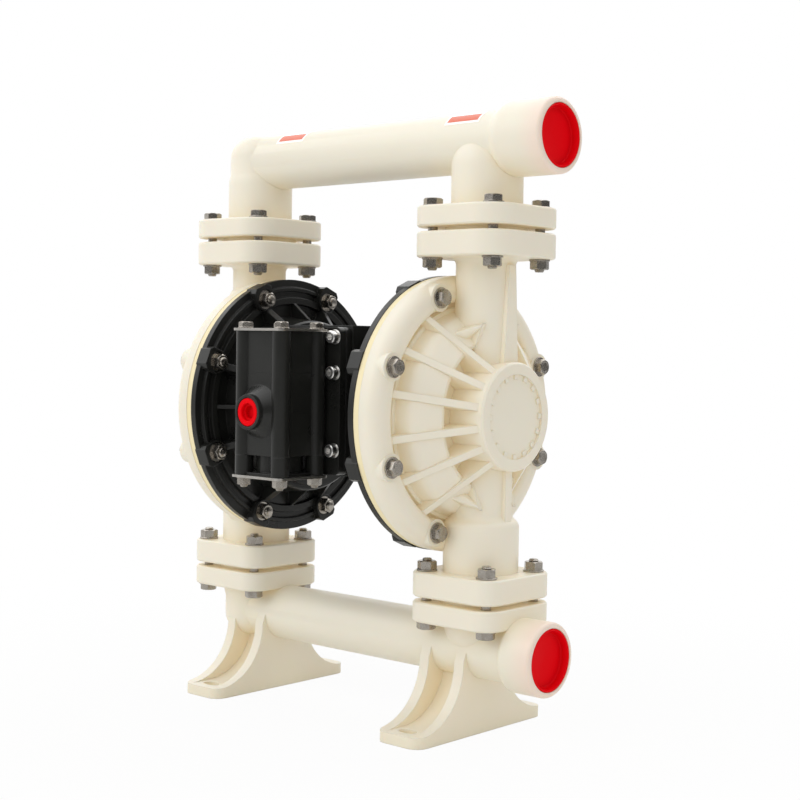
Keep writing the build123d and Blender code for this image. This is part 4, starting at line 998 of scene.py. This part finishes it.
airPlug = {
    "r": 0.0142,
    "front": 0.168,
    "back": 0.1593,
    "edge": 0.0008,
    "recess": 0.0088,
    "mouth": 0.0006,
    "step": 0.0035,
    "core": 0.0066,
    "draft": 0.0003,
    "depth": 0.0078,
    "tip": 0.001,
    "sides": 64,
}
r, edge, recess, core = airPlug["r"], airPlug["edge"], airPlug["recess"], airPlug["core"]
front, step, bottom = airPlug["front"], airPlug["front"] - airPlug["step"], airPlug["front"] - airPlug["depth"]
plug = turned(
    "airInletTransportPlug",
    [
        (airPlug["back"], r - edge),
        (airPlug["back"] + edge, r),
        (front - edge, r),
        (front, r - edge),
        (front, recess + airPlug["mouth"]),
        (front - airPlug["mouth"], recess),
        (step, recess - airPlug["draft"]),
        (step, core),
        (bottom, core - airPlug["draft"]),
        (bottom, airPlug["tip"]),
    ],
    airPlug["sides"],
)
setDown(plug, (0, 0, layout["pumpZ"]), pi / 2, "X")
finishPiece(plug, "airInletTransportPlug", materials["red"], "air_inlet_cap", ["air_inlet_plug"])
print("plugs done")

# Blank stickers on the upper pipe

stickers = {
    "pipeR": 0.03,
    "lift": 0.00025,
    "panelLift": 0.0004,
    "paperAngles": (33, 72),  # degrees round the pipe from the front towards the top
    "panelAngles": (39, 59),
    "places": {"leftSticker": (-0.1140, -0.0725), "rightSticker": (0.1285, 0.1725)},
    "border": 0.0026,
    "steps": (6, 18),  # along the pipe and round it
    "thickness": 0.8,  # as a share of the lift
}


def pipePatch(name, start, end, lift, angles):
    # A thin sheet wrapped on the pipe between two angles
    clearSelection()
    along, across = stickers["steps"]
    bpy.ops.mesh.primitive_grid_add(x_subdivisions=along, y_subdivisions=across, size=1)
    piece = bpy.context.object
    piece.name = name
    low, high = angles
    r = stickers["pipeR"] + lift
    for vertex in piece.data.vertices:
        angle = radians(low + (high - low) * (vertex.co.y + 0.5))
        x = start + (end - start) * (vertex.co.x + 0.5)
        vertex.co = Vector((x, -r * cos(angle), layout["outletZ"] + r * sin(angle)))
    applyModifier(piece, "SOLIDIFY", thickness=lift * stickers["thickness"], offset=-1)
    return piece


for name, (start, end) in stickers["places"].items():
    inset = stickers["border"]
    paper = pipePatch(name + "Paper", start, end, stickers["lift"], stickers["paperAngles"])
    finishPiece(paper, name + "Paper", materials["stickerPaper"], "housing")
    panel = pipePatch(name + "Panel", start + inset, end - inset, stickers["panelLift"], stickers["panelAngles"])
    finishPiece(panel, name + "Panel", materials["stickerPanel"], "housing")
print("stickers done")

# Mould seams round the air valve

seams = {"width": 0.0582, "height": 0.0004, "levels": {"valveSeam1": 0.039, "valveSeam2": 0.0}}
for name, level in seams["levels"].items():
    clearSelection()
    bpy.ops.mesh.primitive_cube_add(size=1, location=(0, layout["valveY"], layout["pumpZ"] + level))
    seam = bpy.context.object
    seam.scale = (seams["width"], seams["width"], seams["height"])
    bpy.ops.object.transform_apply(location=True, rotation=True, scale=True)
    finishPiece(seam, name, materials["black"], "housing")

# Threads inside the ports

portThread = {
    "r": 0.0297,
    "depth": 0.0011,
    "pitch": 0.00231,
    "start": 0.2192,
    "end": 0.2408,
    "sides": 72,
    "heights": {"dischargePortThread": layout["outletZ"], "suctionPortThread": layout["inletZ"]},
}
for name, height in portThread["heights"].items():
    r, pitch = portThread["r"], portThread["pitch"]
    rings = []
    x = portThread["start"]
    while x + pitch < portThread["end"]:
        rings += [(x, r), (x + pitch / 2, r - portThread["depth"])]
        x += pitch
    rings.append((x, r))
    sleeve = turned(name, rings, portThread["sides"], hole=True)
    setDown(sleeve, (0, 0, height), pi / 2, "Y")
    finishPiece(sleeve, name, materials["ivory"], "housing")
print("seams and threads done")

# Floor, light and camera

studio = {
    "floorSize": 6.0,
    "floorDrop": 0.0002,
    "floorColor": (0.86, 0.86, 0.85, 1),
    "floorRoughness": 0.9,
    "floorSpecular": 0.1,
    # How far from the middle the floor's faint shade starts to fade and where it ends, and how light it is
    "fadeStart": 0.25,
    "fadeEnd": 0.9,
    "shadowNear": 0.94,
    # The sky that lights the pump and the one seen in its reflections, each from dim to bright
    "sky": {"axis": (-0.50, -0.35, 0.79), "dim": -0.4, "bright": 0.9, "low": 0.58, "high": 1.0},
    "mirror": {"axis": (-0.35, 0.10, 0.93), "dim": 0.05, "bright": 0.9, "low": 0.15, "high": 2.2},
    "lights": {
        "keyLight": {"place": (-0.9, -2.2, 1.9), "size": 1.6, "power": 10.5},
        "fillLight": {"place": (2.4, -0.7, 1.3), "size": 1.8, "power": 0.3},
        "backLight": {"place": (0.4, 2.0, 2.0), "size": 1.5, "power": 6.0},
    },
    "lightsAim": (0, 0, 0.32),
}

clearSelection()
floorPlace = (0, 0, -studio["floorDrop"])
bpy.ops.mesh.primitive_grid_add(x_subdivisions=4, y_subdivisions=4, size=studio["floorSize"], location=floorPlace)
floor = bpy.context.object
floor.name = "studioFloor"
bpy.ops.object.transform_apply(location=True, rotation=True, scale=True)

floorMaterial = bpy.data.materials.new("palePaper")
floorMaterial.use_nodes = True
tree = floorMaterial.node_tree
surface = tree.nodes["Principled BSDF"]
surface.inputs["Base Color"].default_value = studio["floorColor"]
surface.inputs["Roughness"].default_value = studio["floorRoughness"]
surface.inputs["Specular IOR Level"].default_value = studio["floorSpecular"]
white = addNode(tree, "Emission", (0, -300))
white.inputs["Color"].default_value = (1, 1, 1, 1)
white.inputs["Strength"].default_value = 1.0
# Seen directly, the floor fades from a faint shade round the pump into plain white
coord = addNode(tree, "TexCoord", (-900, 300))
distance = addNode(tree, "VectorMath", (-700, 300), operation="LENGTH")
tree.links.new(coord.outputs["Object"], distance.inputs[0])
fade = addNode(tree, "MapRange", (-500, 300), interpolation_type="SMOOTHSTEP")
fade.inputs["From Min"].default_value = studio["fadeStart"]
fade.inputs["From Max"].default_value = studio["fadeEnd"]
fade.inputs["To Min"].default_value = studio["shadowNear"]
fade.inputs["To Max"].default_value = 1.0
tree.links.new(distance.outputs["Value"], fade.inputs["Value"])
lightPath = addNode(tree, "LightPath", (-300, 500))
share = addNode(tree, "Math", (0, 400), operation="MULTIPLY")
tree.links.new(lightPath.outputs["Is Camera Ray"], share.inputs[0])
tree.links.new(fade.outputs["Result"], share.inputs[1])
blend = addNode(tree, "MixShader", (300, 100))
tree.links.new(share.outputs[0], blend.inputs[0])
tree.links.new(surface.outputs[0], blend.inputs[1])
tree.links.new(white.outputs[0], blend.inputs[2])
tree.links.new(blend.outputs[0], tree.nodes["Material Output"].inputs["Surface"])
paint(floor, floorMaterial)

world = bpy.data.worlds.new("studioWorld")
bpy.context.scene.world = world
world.use_nodes = True
tree = world.node_tree
ambient = tree.nodes["Background"]
ambient.inputs["Color"].default_value = (1, 1, 1, 1)
coord = addNode(tree, "TexCoord", (-1100, 200))


def skyStrength(place, sky):
    # Light strength from the dim side of a sky to the bright one, along its axis
    along = addNode(tree, "VectorMath", (place[0] - 200, place[1]), operation="DOT_PRODUCT")
    along.inputs[1].default_value = sky["axis"]
    tree.links.new(coord.outputs["Object"], along.inputs[0])
    ramp = addNode(tree, "MapRange", place)
    ramp.inputs["From Min"].default_value = sky["dim"]
    ramp.inputs["From Max"].default_value = sky["bright"]
    ramp.inputs["To Min"].default_value = sky["low"]
    ramp.inputs["To Max"].default_value = sky["high"]
    tree.links.new(along.outputs["Value"], ramp.inputs["Value"])
    return ramp.outputs["Result"]


skyRays = addNode(tree, "LightPath", (-700, -200))
skyMix = addNode(tree, "Mix", (-300, 100), data_type="FLOAT")
tree.links.new(skyRays.outputs["Is Glossy Ray"], skyMix.inputs["Factor"])
tree.links.new(skyStrength((-700, 300), studio["sky"]), skyMix.inputs["A"])
tree.links.new(skyStrength((-700, 50), studio["mirror"]), skyMix.inputs["B"])
tree.links.new(skyMix.outputs["Result"], ambient.inputs["Strength"])
seen = addNode(tree, "Background", (0, -200))
seen.inputs["Color"].default_value = (1, 1, 1, 1)
seen.inputs["Strength"].default_value = 1.0
lightPath = addNode(tree, "LightPath", (-300, 300))
mixed = addNode(tree, "MixShader", (200, 0))
tree.links.new(lightPath.outputs["Is Camera Ray"], mixed.inputs[0])
tree.links.new(ambient.outputs[0], mixed.inputs[1])
tree.links.new(seen.outputs[0], mixed.inputs[2])
tree.links.new(mixed.outputs[0], tree.nodes["World Output"].inputs["Surface"])

for name, lamp in studio["lights"].items():
    bpy.ops.object.light_add(type="AREA", location=lamp["place"])
    light = bpy.context.object
    light.name = name
    light.data.shape = "SQUARE"
    light.data.size = lamp["size"]
    light.data.energy = lamp["power"]
    aim = Vector(studio["lightsAim"]) - Vector(lamp["place"])
    light.rotation_euler = aim.to_track_quat("-Z", "Y").to_euler()

view = {"place": (1.0986, -1.1753, 0.3887), "turn": (87.8696, -0.9345, 41.6877), "lens": 67.41, "sensor": 36}
bpy.ops.object.camera_add(location=view["place"], rotation=[radians(a) for a in view["turn"]])
camera = bpy.context.object
camera.name = "camera"
camera.data.sensor_width = view["sensor"]
camera.data.sensor_height = view["sensor"]
camera.data.sensor_fit = "AUTO"
camera.data.lens = view["lens"]
bpy.context.scene.camera = camera
bpy.context.scene.view_settings.view_transform = "Standard"
print("studio ready")
